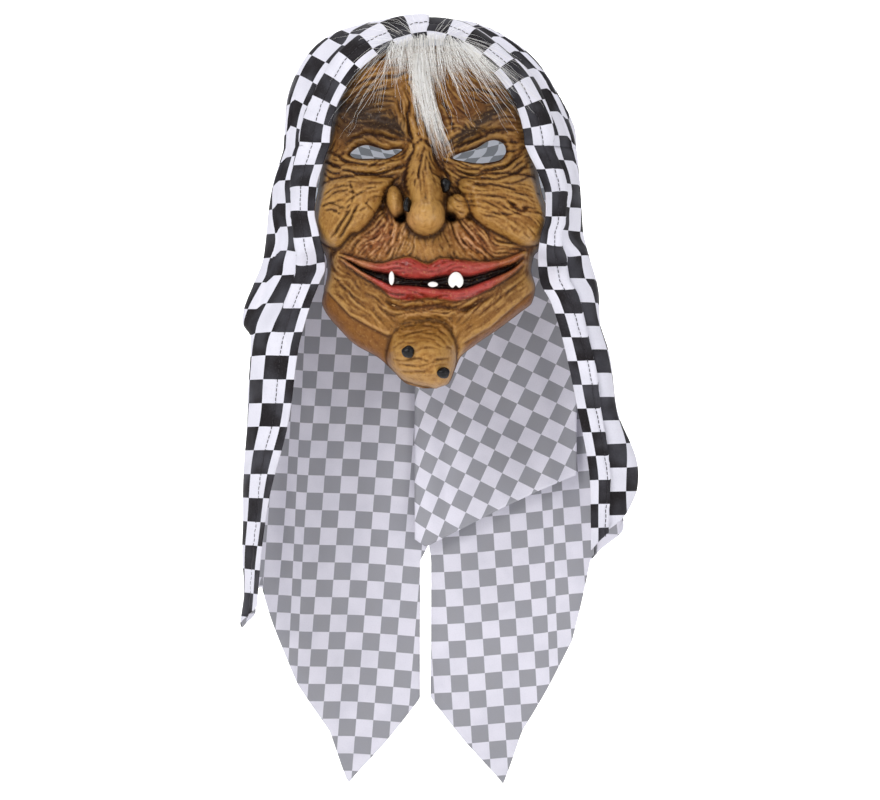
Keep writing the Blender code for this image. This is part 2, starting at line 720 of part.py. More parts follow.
def closed_loft(name, rings, collection):
    """A closed solid through rings of points, capped at both ends."""
    form = bmesh.new()
    loops = [[form.verts.new(point) for point in ring] for ring in rings]
    count = len(rings[0])
    for near, far in zip(loops, loops[1:]):
        for place in range(count):
            after = (place + 1) % count
            form.faces.new((near[place], near[after], far[after], far[place]))
    form.faces.new(loops[0][::-1])
    form.faces.new(loops[-1])
    bmesh.ops.recalc_face_normals(form, faces=form.faces)
    mesh = bpy.data.meshes.new(name)
    form.to_mesh(mesh)
    form.free()
    mesh.shade_smooth()
    return new_object(name, mesh, None, collection)


def strip_ring(x, z, across, half_width, half_thickness, surfaces):
    """A flat six-sided section of a lock, held just off the surfaces behind it."""
    spread = max(0.0016, half_width)
    middle = depth_in_front(surfaces, x, z, spread) - SET_GAP - half_thickness
    ring = []
    for step in range(6):
        angle = math.pi * step / 3
        side = half_width * math.cos(angle)
        ring.append(
            Vector((x + across[0] * side, middle + half_thickness * math.sin(angle), z + across[1] * side))
        )
    return ring


def build_tuft(surfaces, collection, cutters):
    """Tapered locks side by side, joined to one backing at their roots."""
    roots = column(LOCK_COLUMNS, LOCK_ROWS, "root") * TUFT_HALF_WIDTH
    centre, half = (roots[0] + roots[-1]) / 2, (roots[-1] - roots[0]) / 2 + 0.003
    backing = []
    for share in stops(-1.0, 1.0, 10):
        x = centre + share * half
        z = -TUFT_TOP_DROP - 0.006 - 0.006 * share**2
        height = 0.0075 * math.sqrt(max(0.08, 1.0 - share**2))
        y = depth_in_front(surfaces, x, z, 0.0050) - SET_GAP - TUFT_THICKNESS * 0.45
        backing.append(
            [
                Vector((x, y + TUFT_THICKNESS * 0.42 * math.sin(angle), z + height * math.cos(angle)))
                for angle in stops(0.0, 2 * math.pi, 6)[:-1]
            ]
        )
    tuft = closed_loft("hair_tuft", backing, collection)
    tuft.data.materials.append(new_material("hair"))
    locks = bpy.data.collections.new("locks")
    cutters.children.link(locks)
    for number, (root, bend, bend_down, tip, tip_down, wide) in enumerate(LOCK_ROWS):
        start = np.array((root * TUFT_HALF_WIDTH, -TUFT_TOP_DROP - 0.004 - 0.006 * root**2))
        turn = np.array((bend * TUFT_HALF_WIDTH, start[1] - bend_down * TUFT_LENGTH))
        finish = np.array((tip * TUFT_HALF_WIDTH, start[1] - tip_down * TUFT_LENGTH))
        rings = []
        for share in stops(0.0, 1.0, 9):
            place = (1 - share) ** 2 * start + 2 * share * (1 - share) * turn + share**2 * finish
            pace = 2 * (1 - share) * (turn - start) + 2 * share * (finish - turn)
            pace /= np.linalg.norm(pace)
            size = (0.62 + 0.38 * math.sin(math.pi * min(1.0, share * 1.6))) * (1.0 - share**3 * 0.82)
            half_width = LOCK_WIDTH / 2 * wide * size
            half_thickness = TUFT_THICKNESS / 2 * (0.94 + 0.012 * number) * size
            rings.append(strip_ring(place[0], place[1], (-pace[1], pace[0]), half_width, half_thickness, surfaces))
        lock = closed_loft(f"lock_{number}", rings, locks)
        lock.hide_render = True
        lock.display_type = "WIRE"
    join = tuft.modifiers.new("locks", "BOOLEAN")
    join.operation = "UNION"
    join.operand_type = "COLLECTION"
    join.collection = locks
    return tuft


def surface_normal(surface, x, z):
    hit = surface.ray_cast(Vector((x, -1.0, z)), Vector((0, 1, 0)))
    normal = hit[1]
    return hit[0], normal if normal.y < 0 else -normal


def build_wart(name, across, down, surface, collection, material):
    """A round bead with a flat back that sits on the face."""
    x, z = across * FACE_HALF_WIDTH, -FACE_DROP - down * FACE_HEIGHT
    seat, normal = surface_normal(surface, x, z)
    form = bmesh.new()
    bmesh.ops.create_uvsphere(form, u_segments=12, v_segments=8, radius=0.5)
    below = [vertex for vertex in form.verts if vertex.co.z < -0.001]
    bmesh.ops.delete(form, geom=below, context="VERTS")
    bmesh.ops.holes_fill(form, edges=[edge for edge in form.edges if edge.is_boundary])
    bmesh.ops.recalc_face_normals(form, faces=form.faces)
    bmesh.ops.scale(form, verts=form.verts, vec=(WART_DIAMETER, WART_DIAMETER * 1.2, WART_HEIGHT * 2))
    mesh = bpy.data.meshes.new(name)
    form.to_mesh(mesh)
    form.free()
    mesh.shade_smooth()
    wart = new_object(name, mesh, material, collection)
    facing = Matrix.LocRotScale(None, normal.to_track_quat("Z", "Y"), None)
    radius = WART_DIAMETER * 0.55
    lift = max(
        (surface_point(surface, seat, facing, radius, angle) - seat).dot(normal)
        for angle in range(0, 360, 30)
    )
    wart.matrix_world = Matrix.Translation(seat + normal * (max(lift, 0.0) + SET_GAP)) @ facing
    return wart


def surface_point(surface, seat, facing, radius, angle):
    """The face's surface under one point of a round base."""
    around = math.radians(angle)
    place = seat + facing @ Vector((radius * math.cos(around), radius * math.sin(around), 0.0))
    hit = surface.ray_cast(Vector((place.x, -1.0, place.z)), Vector((0, 1, 0)))
    return hit[0] if hit[0] is not None else seat


def build_tooth(name, across, down, width, length, lobes, surface, collection, material):
    """A flat tooth with rounded edges, its biting edge notched where it has two lobes."""
    half, tall = width * TOOTH_LENGTH / 2, length * TOOTH_LENGTH / 2
    x0, z0 = across * FACE_HALF_WIDTH, -FACE_DROP - down * FACE_HEIGHT
    outline = []
    for step in range(20):
        angle = 2 * math.pi * step / 20
        x, z = half * math.cos(angle), tall * math.sin(angle)
        if lobes == 2 and z < 0:
            z += tall * 0.45 * math.exp(-((x / (half * 0.28)) ** 2))
        outline.append((x0 + x, z0 + z))
    seats = [
        depth_in_front((surface,), x0 + (x - x0) * share, z0 + (z - z0) * share)
        for x, z in outline
        for share in (0.0, 0.25, 0.5, 0.75, 1.0)
    ]
    back = min(seats) - SET_GAP
    tooth = prism(name, outline, back - TOOTH_THICKNESS, back, collection)
    tooth.data.materials.append(material)
    rounding = tooth.modifiers.new("rounding", "BEVEL")
    rounding.width = TOOTH_THICKNESS * 0.22
    rounding.segments = 1
    rounding.limit_method = "ANGLE"
    rounding.angle_limit = math.radians(50)
    return tooth


def main():
    for item in list(bpy.data.objects):
        bpy.data.objects.remove(item)
    parts = bpy.data.collections.new("hooded_witch_mask")
    cutters = bpy.data.collections.new("cutters")
    for collection in (parts, cutters):
        bpy.context.scene.collection.children.link(collection)

    face = build_face(parts, cutters)
    face_surface = surface_of(face)
    hood_edge = HoodEdge(face_surface)
    hood = build_hood(hood_edge, parts)
    cloth = hood.data.materials[0]
    panels = [build_back_panel(hood_edge, side, parts, cloth) for side in ("left", "right")]
    build_inner_panel([surface_of(panel) for panel in panels], parts, cloth)
    build_tuft((face_surface, surface_of(hood)), parts, cutters)
    wart_paint = new_material("wart_paint")
    for name, across, down in WARTS:
        build_wart(name, across, down, face_surface, parts, wart_paint)
    tooth_paint = new_material("tooth_paint")
    for name, across, down, width, length, lobes in TEETH:
        build_tooth(name, across, down, width, length, lobes, face_surface, parts, tooth_paint)


main()
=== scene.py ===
# Hooded witch mask: the looks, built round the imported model.
# Metres, +Z up, the face looks along -Y. Tables of the face are in millimetres.
import math

import bmesh
import bpy
import numpy as np
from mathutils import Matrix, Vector


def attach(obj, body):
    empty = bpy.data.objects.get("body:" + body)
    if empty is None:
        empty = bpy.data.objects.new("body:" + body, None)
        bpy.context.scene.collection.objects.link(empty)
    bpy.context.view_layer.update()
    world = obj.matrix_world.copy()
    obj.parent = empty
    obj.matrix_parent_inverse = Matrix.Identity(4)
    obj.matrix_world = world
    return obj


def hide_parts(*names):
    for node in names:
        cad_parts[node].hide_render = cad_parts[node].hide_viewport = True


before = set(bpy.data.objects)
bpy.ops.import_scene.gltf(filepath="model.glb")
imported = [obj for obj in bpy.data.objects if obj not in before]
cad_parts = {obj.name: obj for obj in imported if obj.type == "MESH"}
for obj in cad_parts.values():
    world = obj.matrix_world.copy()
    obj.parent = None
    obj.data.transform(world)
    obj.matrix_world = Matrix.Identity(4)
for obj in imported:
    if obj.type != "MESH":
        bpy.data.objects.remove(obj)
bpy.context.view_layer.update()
mm = 0.001
print("frame loaded")


# Curves through tables, as the CAD model lofts them

def smoothCurve(knots, values, at):
    knots, values = np.asarray(knots, float), np.asarray(values, float)
    steps = np.diff(knots)
    slopes = np.diff(values) / steps
    inner = np.where(
        slopes[1:] * slopes[:-1] > 0,
        2.0 * slopes[1:] * slopes[:-1] / (slopes[1:] + slopes[:-1] + 1e-12),
        0.0,
    )
    ends = np.concatenate(([slopes[0]], inner, [slopes[-1]]))
    at = np.clip(at, knots[0], knots[-1])
    span = np.clip(np.searchsorted(knots, at, side="right") - 1, 0, len(steps) - 1)
    share = (at - knots[span]) / steps[span]
    square, cube = share**2, share**3
    return (
        (2 * cube - 3 * square + 1) * values[span]
        + (cube - 2 * square + share) * steps[span] * ends[span]
        + (3 * square - 2 * cube) * values[span + 1]
        + (cube - square) * steps[span] * ends[span + 1]
    )


def tableCurve(rows, place, at):
    return smoothCurve([row[0] for row in rows], [row[place] for row in rows], at)


def roundedLine(points, closed=False, steps=8):  # a smooth line through places (x, z)
    points = np.array(points, float)
    count = len(points)
    line = []
    for place in range(count if closed else count - 1):
        if closed:
            a, b, c, d = (points[(place + step) % count] for step in (-1, 0, 1, 2))
        else:
            b, c = points[place], points[place + 1]
            a = points[place - 1] if place else 2 * b - c
            d = points[place + 2] if place + 2 < count else 2 * c - b
        for share in np.arange(steps) / steps:
            line.append(
                0.5 * (2 * b + (c - a) * share + (2 * a - 5 * b + 4 * c - d) * share**2
                       + (3 * b - a - 3 * c + d) * share**3)
            )
    if not closed:
        line.append(points[-1])
    return np.array(line)


def smoothStep(low, high, at):
    share = np.clip((at - low) / (high - low), 0.0, 1.0)
    return share * share * (3 - 2 * share)


def linearColour(text):  # a colour written as six hex digits
    channels = [int(text[place:place + 2], 16) / 255 for place in (0, 2, 4)]
    return np.array([c / 12.92 if c <= 0.04045 else ((c + 0.055) / 1.055) ** 2.4 for c in channels])


# Shader maths

class ShaderValue:
    def __init__(self, graph, socket):
        self.graph = graph
        self.socket = socket

    def maths(self, operation, first, second):
        return self.graph.add("ShaderNodeMath", {"operation": operation}, {0: first, 1: second})

    def __add__(self, other):
        return self.maths("ADD", self, other)

    def __radd__(self, other):
        return self.maths("ADD", other, self)

    def __sub__(self, other):
        return self.maths("SUBTRACT", self, other)

    def __rsub__(self, other):
        return self.maths("SUBTRACT", other, self)

    def __mul__(self, other):
        return self.maths("MULTIPLY", self, other)

    def __rmul__(self, other):
        return self.maths("MULTIPLY", other, self)


class ShaderGraph:
    def __init__(self, name):
        self.material = bpy.data.materials.new(name)
        self.material.use_nodes = True
        self.tree = self.material.node_tree
        self.tree.nodes.clear()
        self.shader = self.tree.nodes.new("ShaderNodeBsdfPrincipled")
        output = self.tree.nodes.new("ShaderNodeOutputMaterial")
        self.tree.links.new(self.shader.outputs["BSDF"], output.inputs["Surface"])

    def put(self, socket, value):
        if isinstance(value, ShaderValue):
            self.tree.links.new(value.socket, socket)
        else:
            socket.default_value = value

    def add(self, kind, settings=None, sockets=None, output=0):
        node = self.tree.nodes.new(kind)
        for name, value in (settings or {}).items():
            if name == "stops":
                ramp = node.color_ramp.elements
                while len(ramp) < len(value):
                    ramp.new(0.5)
                for stop, (place, colour) in zip(ramp, value):
                    stop.position = place
                    stop.color = colour
            else:
                setattr(node, name, value)
        for place, value in (sockets or {}).items():
            self.put(node.inputs[place], value)
        return ShaderValue(self, node.outputs[output])

    def finish(self, **sockets):
        for name, value in sockets.items():
            self.put(self.shader.inputs[name.replace("_", " ")], value)
        return self.material

    def mix(self, factor, first, second, blend="MIX"):
        return self.add(
            "ShaderNodeMix",
            {"data_type": "RGBA", "blend_type": blend, "clamp_factor": True},
            {0: factor, 6: first, 7: second},
            output=2,
        )

    def rise(self, value, low, high):  # 0 to 1 as value goes from low to high
        return self.add("ShaderNodeMapRange", {"interpolation_type": "SMOOTHSTEP"}, {0: value, 1: low, 2: high})

    def noise(self, vector, scale, detail=2.0, roughness=0.5):
        return self.add(
            "ShaderNodeTexNoise", None, {"Vector": vector, "Scale": scale, "Detail": detail, "Roughness": roughness}
        )

    def bump(self, height, strength, distance, normal=None):
        sockets = {"Height": height, "Strength": strength, "Distance": distance}
        if normal:
            sockets["Normal"] = normal
        return self.add("ShaderNodeBump", None, sockets)

    def place(self):
        return self.add("ShaderNodeTexCoord", None, None, output=3)

    def uv(self):
        return self.add("ShaderNodeUVMap", {"uv_map": "cloth"})

    def attribute(self, name, output=0):
        return self.add("ShaderNodeAttribute", {"attribute_name": name}, None, output)


def hexColour(text):
    return (*linearColour(text), 1.0)


def latexMaterial():
    graph = ShaderGraph("latexPaint")
    place = graph.place()
    paint = graph.attribute("paint")
    gloss = graph.attribute("gloss", 2)
    mottle = graph.noise(place, 210.0, 4.0, 0.62)
    pores = graph.noise(place, 1500.0, 2.0, 0.6)
    scuff = graph.noise(place, 620.0, 3.0, 0.55)
    colour = graph.mix(graph.rise(mottle, 0.42, 0.70) * 0.44, paint, hexColour("8a5426"), "MULTIPLY")
    colour = graph.mix(graph.rise(scuff, 0.56, 0.74) * 0.20, colour, hexColour("d9b070"))
    normal = graph.bump(pores, 0.22, 0.0004)
    normal = graph.bump(scuff, 0.20, 0.0010, normal)
    return graph.finish(
        Base_Color=colour,
        Roughness=0.58 - 0.27 * gloss + 0.16 * (mottle - 0.5),
        Normal=normal,
        Specular_IOR_Level=0.14,
        Coat_Weight=0.60 * gloss,
        Coat_Roughness=0.20,
        Coat_IOR=1.36,
    )


checkSettings = {
    "size": 0.0150,
    "faceDark": "171316",
    "faceLight": "d9d8e3",
    "reverseDark": "8a8a90",
    "reverseLight": "cccad5",
    "liningDark": "8d9298",
    "liningLight": "d6dbe4",
}


def clothMaterial(name, side, glow=0.0, size=checkSettings["size"]):
    dark, light = checkSettings[side + "Dark"], checkSettings[side + "Light"]
    graph = ShaderGraph(name)
    uv = graph.uv()
    wander = graph.noise(uv, 45.0, 2.0, 0.5)
    check = graph.add("ShaderNodeTexChecker", None, {"Vector": uv, "Scale": 1 / size}, output=1)
    fine = graph.noise(uv, 900.0, 2.0, 0.6)
    across = graph.add(
        "ShaderNodeTexWave", {"bands_direction": "X"},
        {"Vector": uv, "Scale": 360.0, "Distortion": 1.5, "Detail": 1.0},
        output=1,
    )
    down = graph.add(
        "ShaderNodeTexWave", {"bands_direction": "Y"},
        {"Vector": uv, "Scale": 360.0, "Distortion": 1.5, "Detail": 1.0},
        output=1,
    )
    colour = graph.mix(check, hexColour(light), hexColour(dark))
    colour = graph.mix(graph.rise(wander, 0.35, 0.75) * 0.16, colour, hexColour("8d8f9c"))
    colour = graph.mix(graph.rise(fine, 0.45, 0.80) * 0.10, colour, hexColour("6e6a74"))
    normal = graph.bump(across + down, 0.10, 0.0002)
    normal = graph.bump(fine, 0.12, 0.0004, normal)
    sockets = {
        "Base_Color": colour,
        "Roughness": 0.74 - 0.10 * check + 0.10 * (fine - 0.5),
        "Normal": normal,
        "Sheen_Weight": 0.02,
        "Sheen_Roughness": 0.45,
        "Specular_IOR_Level": 0.16,
    }
    # The emission is painted light: it brightens cloth that sits in shade
    if glow:
        sockets["Emission_Color"] = colour
        sockets["Emission_Strength"] = glow
    return graph.finish(**sockets)


def plainMaterial(name, light, dark, roughness, scale, coat=0.0, bump=0.0006, glow=0.0, shine=0.5):
    graph = ShaderGraph(name)
    place = graph.place()
    mottle = graph.noise(place, scale, 3.0, 0.6)
    grain = graph.noise(place, scale * 5, 2.0, 0.6)
    colour = graph.mix(graph.rise(mottle, 0.35, 0.70), hexColour(light), hexColour(dark))
    return graph.finish(
        Base_Color=colour,
        Emission_Color=colour,
        Emission_Strength=glow,
        Specular_IOR_Level=shine,
        Roughness=roughness + 0.16 * (grain - 0.5),
        Normal=graph.bump(grain, 0.25, bump),
        Coat_Weight=coat,
        Coat_Roughness=0.08,
    )


def hairMaterial():
    graph = ShaderGraph("whiteHair")
    tone = graph.attribute("strand", 2)
    streak = graph.noise(graph.place(), 260.0, 2.0, 0.5)
    colour = graph.mix(graph.rise(tone, 0.1, 0.9), hexColour("ffffff"), hexColour("e2dfda"))
    colour = graph.mix(graph.rise(streak, 0.5, 0.8) * 0.3, colour, hexColour("c8c2ba"))
    return graph.finish(
        Base_Color=colour,
        Roughness=0.42 + 0.15 * streak,
        Specular_IOR_Level=0.5,
        # A faint glow: painted light that keeps the thin strands white where they shade one another
        Emission_Color=colour,
        Emission_Strength=0.04,
    )


latexFinish = latexMaterial()
clothFace = clothMaterial("checkedCloth", "face")
# The reverse, the lining and the inner panel's cloth glow a little: painted light that lifts them where they lie in
# the hood's shade
clothReverse = clothMaterial("checkedClothReverse", "reverse", 0.09)
clothLining = clothMaterial("checkedClothLining", "lining", 0.30, 0.0090)
clothInner = clothMaterial("checkedClothInner", "reverse", 0.20)
threadFinish = plainMaterial("blackThread", "26232a", "121014", 0.62, 900.0)
wartFinish = plainMaterial("wartPaint", "09090d", "030305", 0.24, 500.0, coat=0.10, shine=0.22)
toothFinish = plainMaterial("toothPaint", "efefec", "e2e2dd", 0.30, 300.0, coat=0.3, bump=0.00008)
hairFinish = hairMaterial()
print("materials made")


# The face, worked out as a map of heights and then laid on a fine grid

faceSettings = {
    "halfWidth": 86.0,
    "height": 256.0,
    "drop": 24.0,
    "depth": 58.0,
    "setback": 34.0,
    "squareness": 2.5,
    "wall": 2.2,
    "columns": 276,
    "rows": 324,
    "innerStep": 4,
    "pixel": 0.5,
    "wrinkleSeed": 7,
}

faceRows = (  # down, left, right, ridge, edge
    (0.00, 0.43, 0.48, 0.55, 0.30),
    (0.02, 0.50, 0.57, 0.70, 0.24),
    (0.05, 0.60, 0.68, 0.84, 0.18),
    (0.09, 0.72, 0.80, 0.93, 0.12),
    (0.15, 0.81, 0.87, 0.98, 0.08),
    (0.23, 0.88, 0.93, 1.00, 0.05),
    (0.32, 0.93, 0.95, 0.96, 0.02),
    (0.43, 0.98, 1.01, 0.93, 0.00),
    (0.475, 1.01, 1.06, 0.93, 0.00),
    (0.515, 1.03, 1.09, 0.935, 0.00),
    (0.565, 1.00, 1.055, 0.94, 0.00),
    (0.61, 0.90, 0.93, 0.955, 0.00),
    (0.65, 0.885, 0.91, 0.96, 0.00),
    (0.70, 0.91, 0.945, 0.95, 0.00),
    (0.745, 0.935, 0.915, 0.93, 0.01),
    (0.775, 0.90, 0.81, 0.917, 0.03),
    (0.82, 0.79, 0.635, 0.90, 0.08),
    (0.87, 0.64, 0.42, 0.90, 0.20),
    (0.91, 0.43, 0.28, 0.90, 0.36),
    (0.95, 0.30, 0.23, 0.90, 0.50),
    (0.985, 0.19, 0.18, 0.86, 0.64),
    (1.00, 0.04, 0.07, 0.82, 0.68),
)

# The map's own grid: x to the right, z down the rows, both in millimetres
mapX = np.arange(-92.0, 92.01, faceSettings["pixel"])
mapZ = np.arange(-14.0, -292.01, -faceSettings["pixel"])
gridX, gridZ = np.meshgrid(mapX, mapZ)
random = np.random.default_rng(faceSettings["wrinkleSeed"])


def faceHalfWidth(x, z):
    level = (-faceSettings["drop"] - z) / faceSettings["height"]
    share = np.where(x < 0, tableCurve(faceRows, 1, level), tableCurve(faceRows, 2, level))
    return faceSettings["halfWidth"] * share


def plainForward(x, z, inset=0.0):  # how far the plain shell stands forward of the head's middle
    level = (-faceSettings["drop"] - z) / faceSettings["height"]
    ridge, edge = tableCurve(faceRows, 3, level), tableCurve(faceRows, 4, level)
    out = np.clip(np.abs(x) / np.maximum(faceHalfWidth(x, z) - inset, 0.5), 0.0, 1.0)
    arch = (1.0 - out ** faceSettings["squareness"]) ** (1.0 / faceSettings["squareness"])
    return faceSettings["setback"] + faceSettings["depth"] * (edge + (ridge - edge) * arch)


def sampleMap(field, x, z):
    column = np.clip((x - mapX[0]) / faceSettings["pixel"], 0, len(mapX) - 1.001)
    row = np.clip((mapZ[0] - z) / faceSettings["pixel"], 0, len(mapZ) - 1.001)
    left, top = column.astype(int), row.astype(int)
    right, low = column - left, row - top
    if field.ndim == 3:
        right, low = right[..., None], low[..., None]
    return (
        field[top, left] * (1 - right) * (1 - low)
        + field[top, left + 1] * right * (1 - low)
        + field[top + 1, left] * (1 - right) * low
        + field[top + 1, left + 1] * right * low
    )


def blurred(field, sigma):
    pixels = sigma / faceSettings["pixel"]
    reach = max(1, int(3 * pixels))
    kernel = np.exp(-0.5 * (np.arange(-reach, reach + 1) / pixels) ** 2)
    kernel /= kernel.sum()
    for axis in (0, 1):
        padded = np.pad(field, [(reach, reach) if a == axis else (0, 0) for a in (0, 1)], mode="edge")
        length = field.shape[axis]
        total = np.zeros_like(field)
        for step, weight in enumerate(kernel):
            total += weight * (padded[step:step + length] if axis == 0 else padded[:, step:step + length])
        field = total
    return field


def spread(field, reach, pick):  # the largest or least value within reach
    steps = int(reach / faceSettings["pixel"])
    for axis in (0, 1):
        padded = np.pad(field, [(steps, steps) if a == axis else (0, 0) for a in (0, 1)], mode="edge")
        length = field.shape[axis]
        field = pick(
            [padded[s:s + length] if axis == 0 else padded[:, s:s + length] for s in range(2 * steps + 1)], axis=0
        )
    return field


def nearestOn(line, values=None):  # distance to a line of points, and values along it
    best = np.full(gridX.shape, 1e9)
    share = np.zeros(gridX.shape)
    for number, (start, end) in enumerate(zip(line, line[1:])):
        run = end - start
        length = max(float(run @ run), 1e-9)
        along = np.clip(((gridX - start[0]) * run[0] + (gridZ - start[1]) * run[1]) / length, 0, 1)
        away = (gridX - start[0] - along * run[0]) ** 2 + (gridZ - start[1] - along * run[1]) ** 2
        closer = away < best
        best = np.where(closer, away, best)
        share = np.where(closer, number + along, share)
    best, share = np.sqrt(best), share / (len(line) - 1)
    if values is None:
        return best, share
    places = np.linspace(0, 1, len(values))
    return best, share, [np.interp(share, places, v) for v in np.transpose(values)]


def insideLoop(loop):
    inside = np.zeros(gridX.shape, bool)
    for start, end in zip(loop, np.roll(loop, -1, axis=0)):
        crosses = (start[1] > gridZ) != (end[1] > gridZ)
        at = (end[0] - start[0]) * (gridZ - start[1]) / (end[1] - start[1] + 1e-12) + start[0]
        inside ^= crosses & (gridX < at)
    return inside


def loopDepth(points):  # distance inside a smooth closed outline, negative outside it
    loop = roundedLine(points, closed=True)
    away = nearestOn(np.vstack((loop, loop[:1])))[0]
    return np.where(insideLoop(loop), away, -away)


def roundEdge(depth, width):  # a quarter circle that rises over width
    share = np.clip(depth / width, 0, 1)
    return np.sqrt(np.clip(1 - (1 - share) ** 2, 0, 1))


def joined(first, second, soft):  # the higher of two forms, melted together
    overlap = np.clip(1 - np.abs(first - second) / soft, 0, 1)
    return np.maximum(first, second) + soft / 4 * overlap**2


def acrossEllipse(x, z, wide, tall, turn):  # places along and across a turned ellipse, 1 at its rim
    angle = math.radians(turn)
    east, north = gridX - x, gridZ - z
    along = (east * math.cos(angle) + north * math.sin(angle)) / wide
    up = (north * math.cos(angle) - east * math.sin(angle)) / tall
    return along, up


def mound(x, z, wide, tall, turn, firm=2.0):
    along, up = acrossEllipse(x, z, wide, tall, turn)
    return np.exp(-(np.sqrt(along**2 + up**2) ** firm))


def dome(x, z, wide, tall, turn):  # a half ellipsoid
    along, up = acrossEllipse(x, z, wide, tall, turn)
    return np.sqrt(np.clip(1 - along**2 - up**2, 0, 1))


softForms = (  # x, z, wide, tall, turn, height
    (-38.7, -81.0, 27.0, 8.5, -14.0, 8.5),  # left brow
    (44.7, -80.0, 30.0, 9.0, 30.0, 9.5),  # right brow
    (-40.4, -104.0, 25.0, 12.0, 0.0, -10.0),  # left eye socket
    (40.4, -104.6, 27.0, 12.5, 14.0, -10.0),  # right eye socket
    (-43.0, -116.0, 24.0, 5.0, 4.0, 4.0),  # bag under the left eye
    (44.0, -117.5, 24.0, 5.5, 8.0, 4.0),  # bag under the right eye
    (1.7, -192.0, 58.0, 30.0, 0.0, 7.0),  # muzzle
    (-60.0, -122.0, 22.0, 12.0, 20.0, 4.0),  # above the left cheek
    (62.0, -120.0, 22.0, 12.0, -16.0, 4.0),  # above the right cheek
    (2.6, -228.8, 30.0, 6.0, 0.0, -3.0),  # crease under the lips
    (-40.0, -172.0, 16.0, 10.0, 50.0, -3.5),  # hollow below the left cheek
    (42.0, -176.0, 16.0, 9.0, -50.0, -3.5),  # hollow below the right cheek
)

cheekLeft = (
    (-92.0, -142.0), (-78.0, -127.0), (-53.5, -122.5), (-28.0, -124.2), (-25.5, -128.0), (-32.0, -139.5),
    (-41.4, -154.6), (-49.9, -163.1), (-57.1, -166.0), (-64.5, -173.4),
    (-71.0, -175.0), (-80.0, -170.0), (-91.0, -158.0),
)
cheekRight = (
    (22.5, -127.5), (40.1, -121.5), (64.4, -121.0), (84.0, -124.0), (97.0, -138.0), (97.0, -158.0),
    (86.0, -170.5), (70.1, -174.0), (54.7, -167.0), (38.9, -158.3), (28.4, -146.1),
)
chinKnob = (
    (-28.2, -246.5), (-30.6, -258.7), (-25.6, -269.0), (-13.4, -275.5), (1.2, -279.2), (9.7, -281.0),
    (16.5, -275.5), (20.4, -263.5), (20.8, -249.0), (16.2, -237.5), (3.7, -230.0), (-14.5, -231.2), (-24.8, -238.6),
)
noseBridge = (  # x, z, half width, height
    (-5.5, -86.0, 7.0, 4.0), (-6.4, -100.0, 9.5, 10.0), (-5.4, -116.0, 12.5, 19.0),
    (-3.0, -132.0, 15.5, 30.0), (-1.8, -146.0, 15.0, 38.0),
)
noseDomes = (  # x, z, wide, tall, turn, height
    (-1.6, -151.8, 14.8, 15.8, 0.0, 44.0),  # bulb
    (-23.8, -142.0, 6.6, 12.0, 12.0, 21.0),  # left wing
    (22.0, -145.6, 10.5, 9.5, -10.0, 15.0),  # right wing
)
nostrils = ((-19.6, -153.6, 4.2, 3.2, 24.0), (17.0, -153.0, 4.4, 3.4, -20.0))

# The mouth's lines at each x: upper lip's top, slit's top, slit's low side, lower lip's low edge
mouthRows = (
    (-66.0, -179.6, -181.2, -182.0, -184.0),
    (-59.9, -181.2, -184.4, -185.6, -188.8),
    (-47.7, -185.3, -191.0, -193.8, -197.6),
    (-35.4, -187.7, -194.2, -199.9, -205.6),
    (-25.7, -185.3, -195.8, -203.6, -213.6),
    (-14.7, -182.8, -198.9, -204.2, -216.0),
    (0.0, -188.0, -199.3, -205.6, -213.8),
    (9.7, -184.0, -197.0, -206.6, -214.6),
    (19.4, -184.4, -196.8, -206.8, -216.0),
    (29.2, -185.3, -197.2, -205.4, -214.4),
    (40.2, -186.2, -194.8, -201.4, -209.6),
    (52.0, -185.0, -191.0, -196.6, -203.0),
    (62.0, -181.8, -187.6, -191.6, -196.0),
    (71.0, -177.6, -181.4, -184.2, -188.0),
)

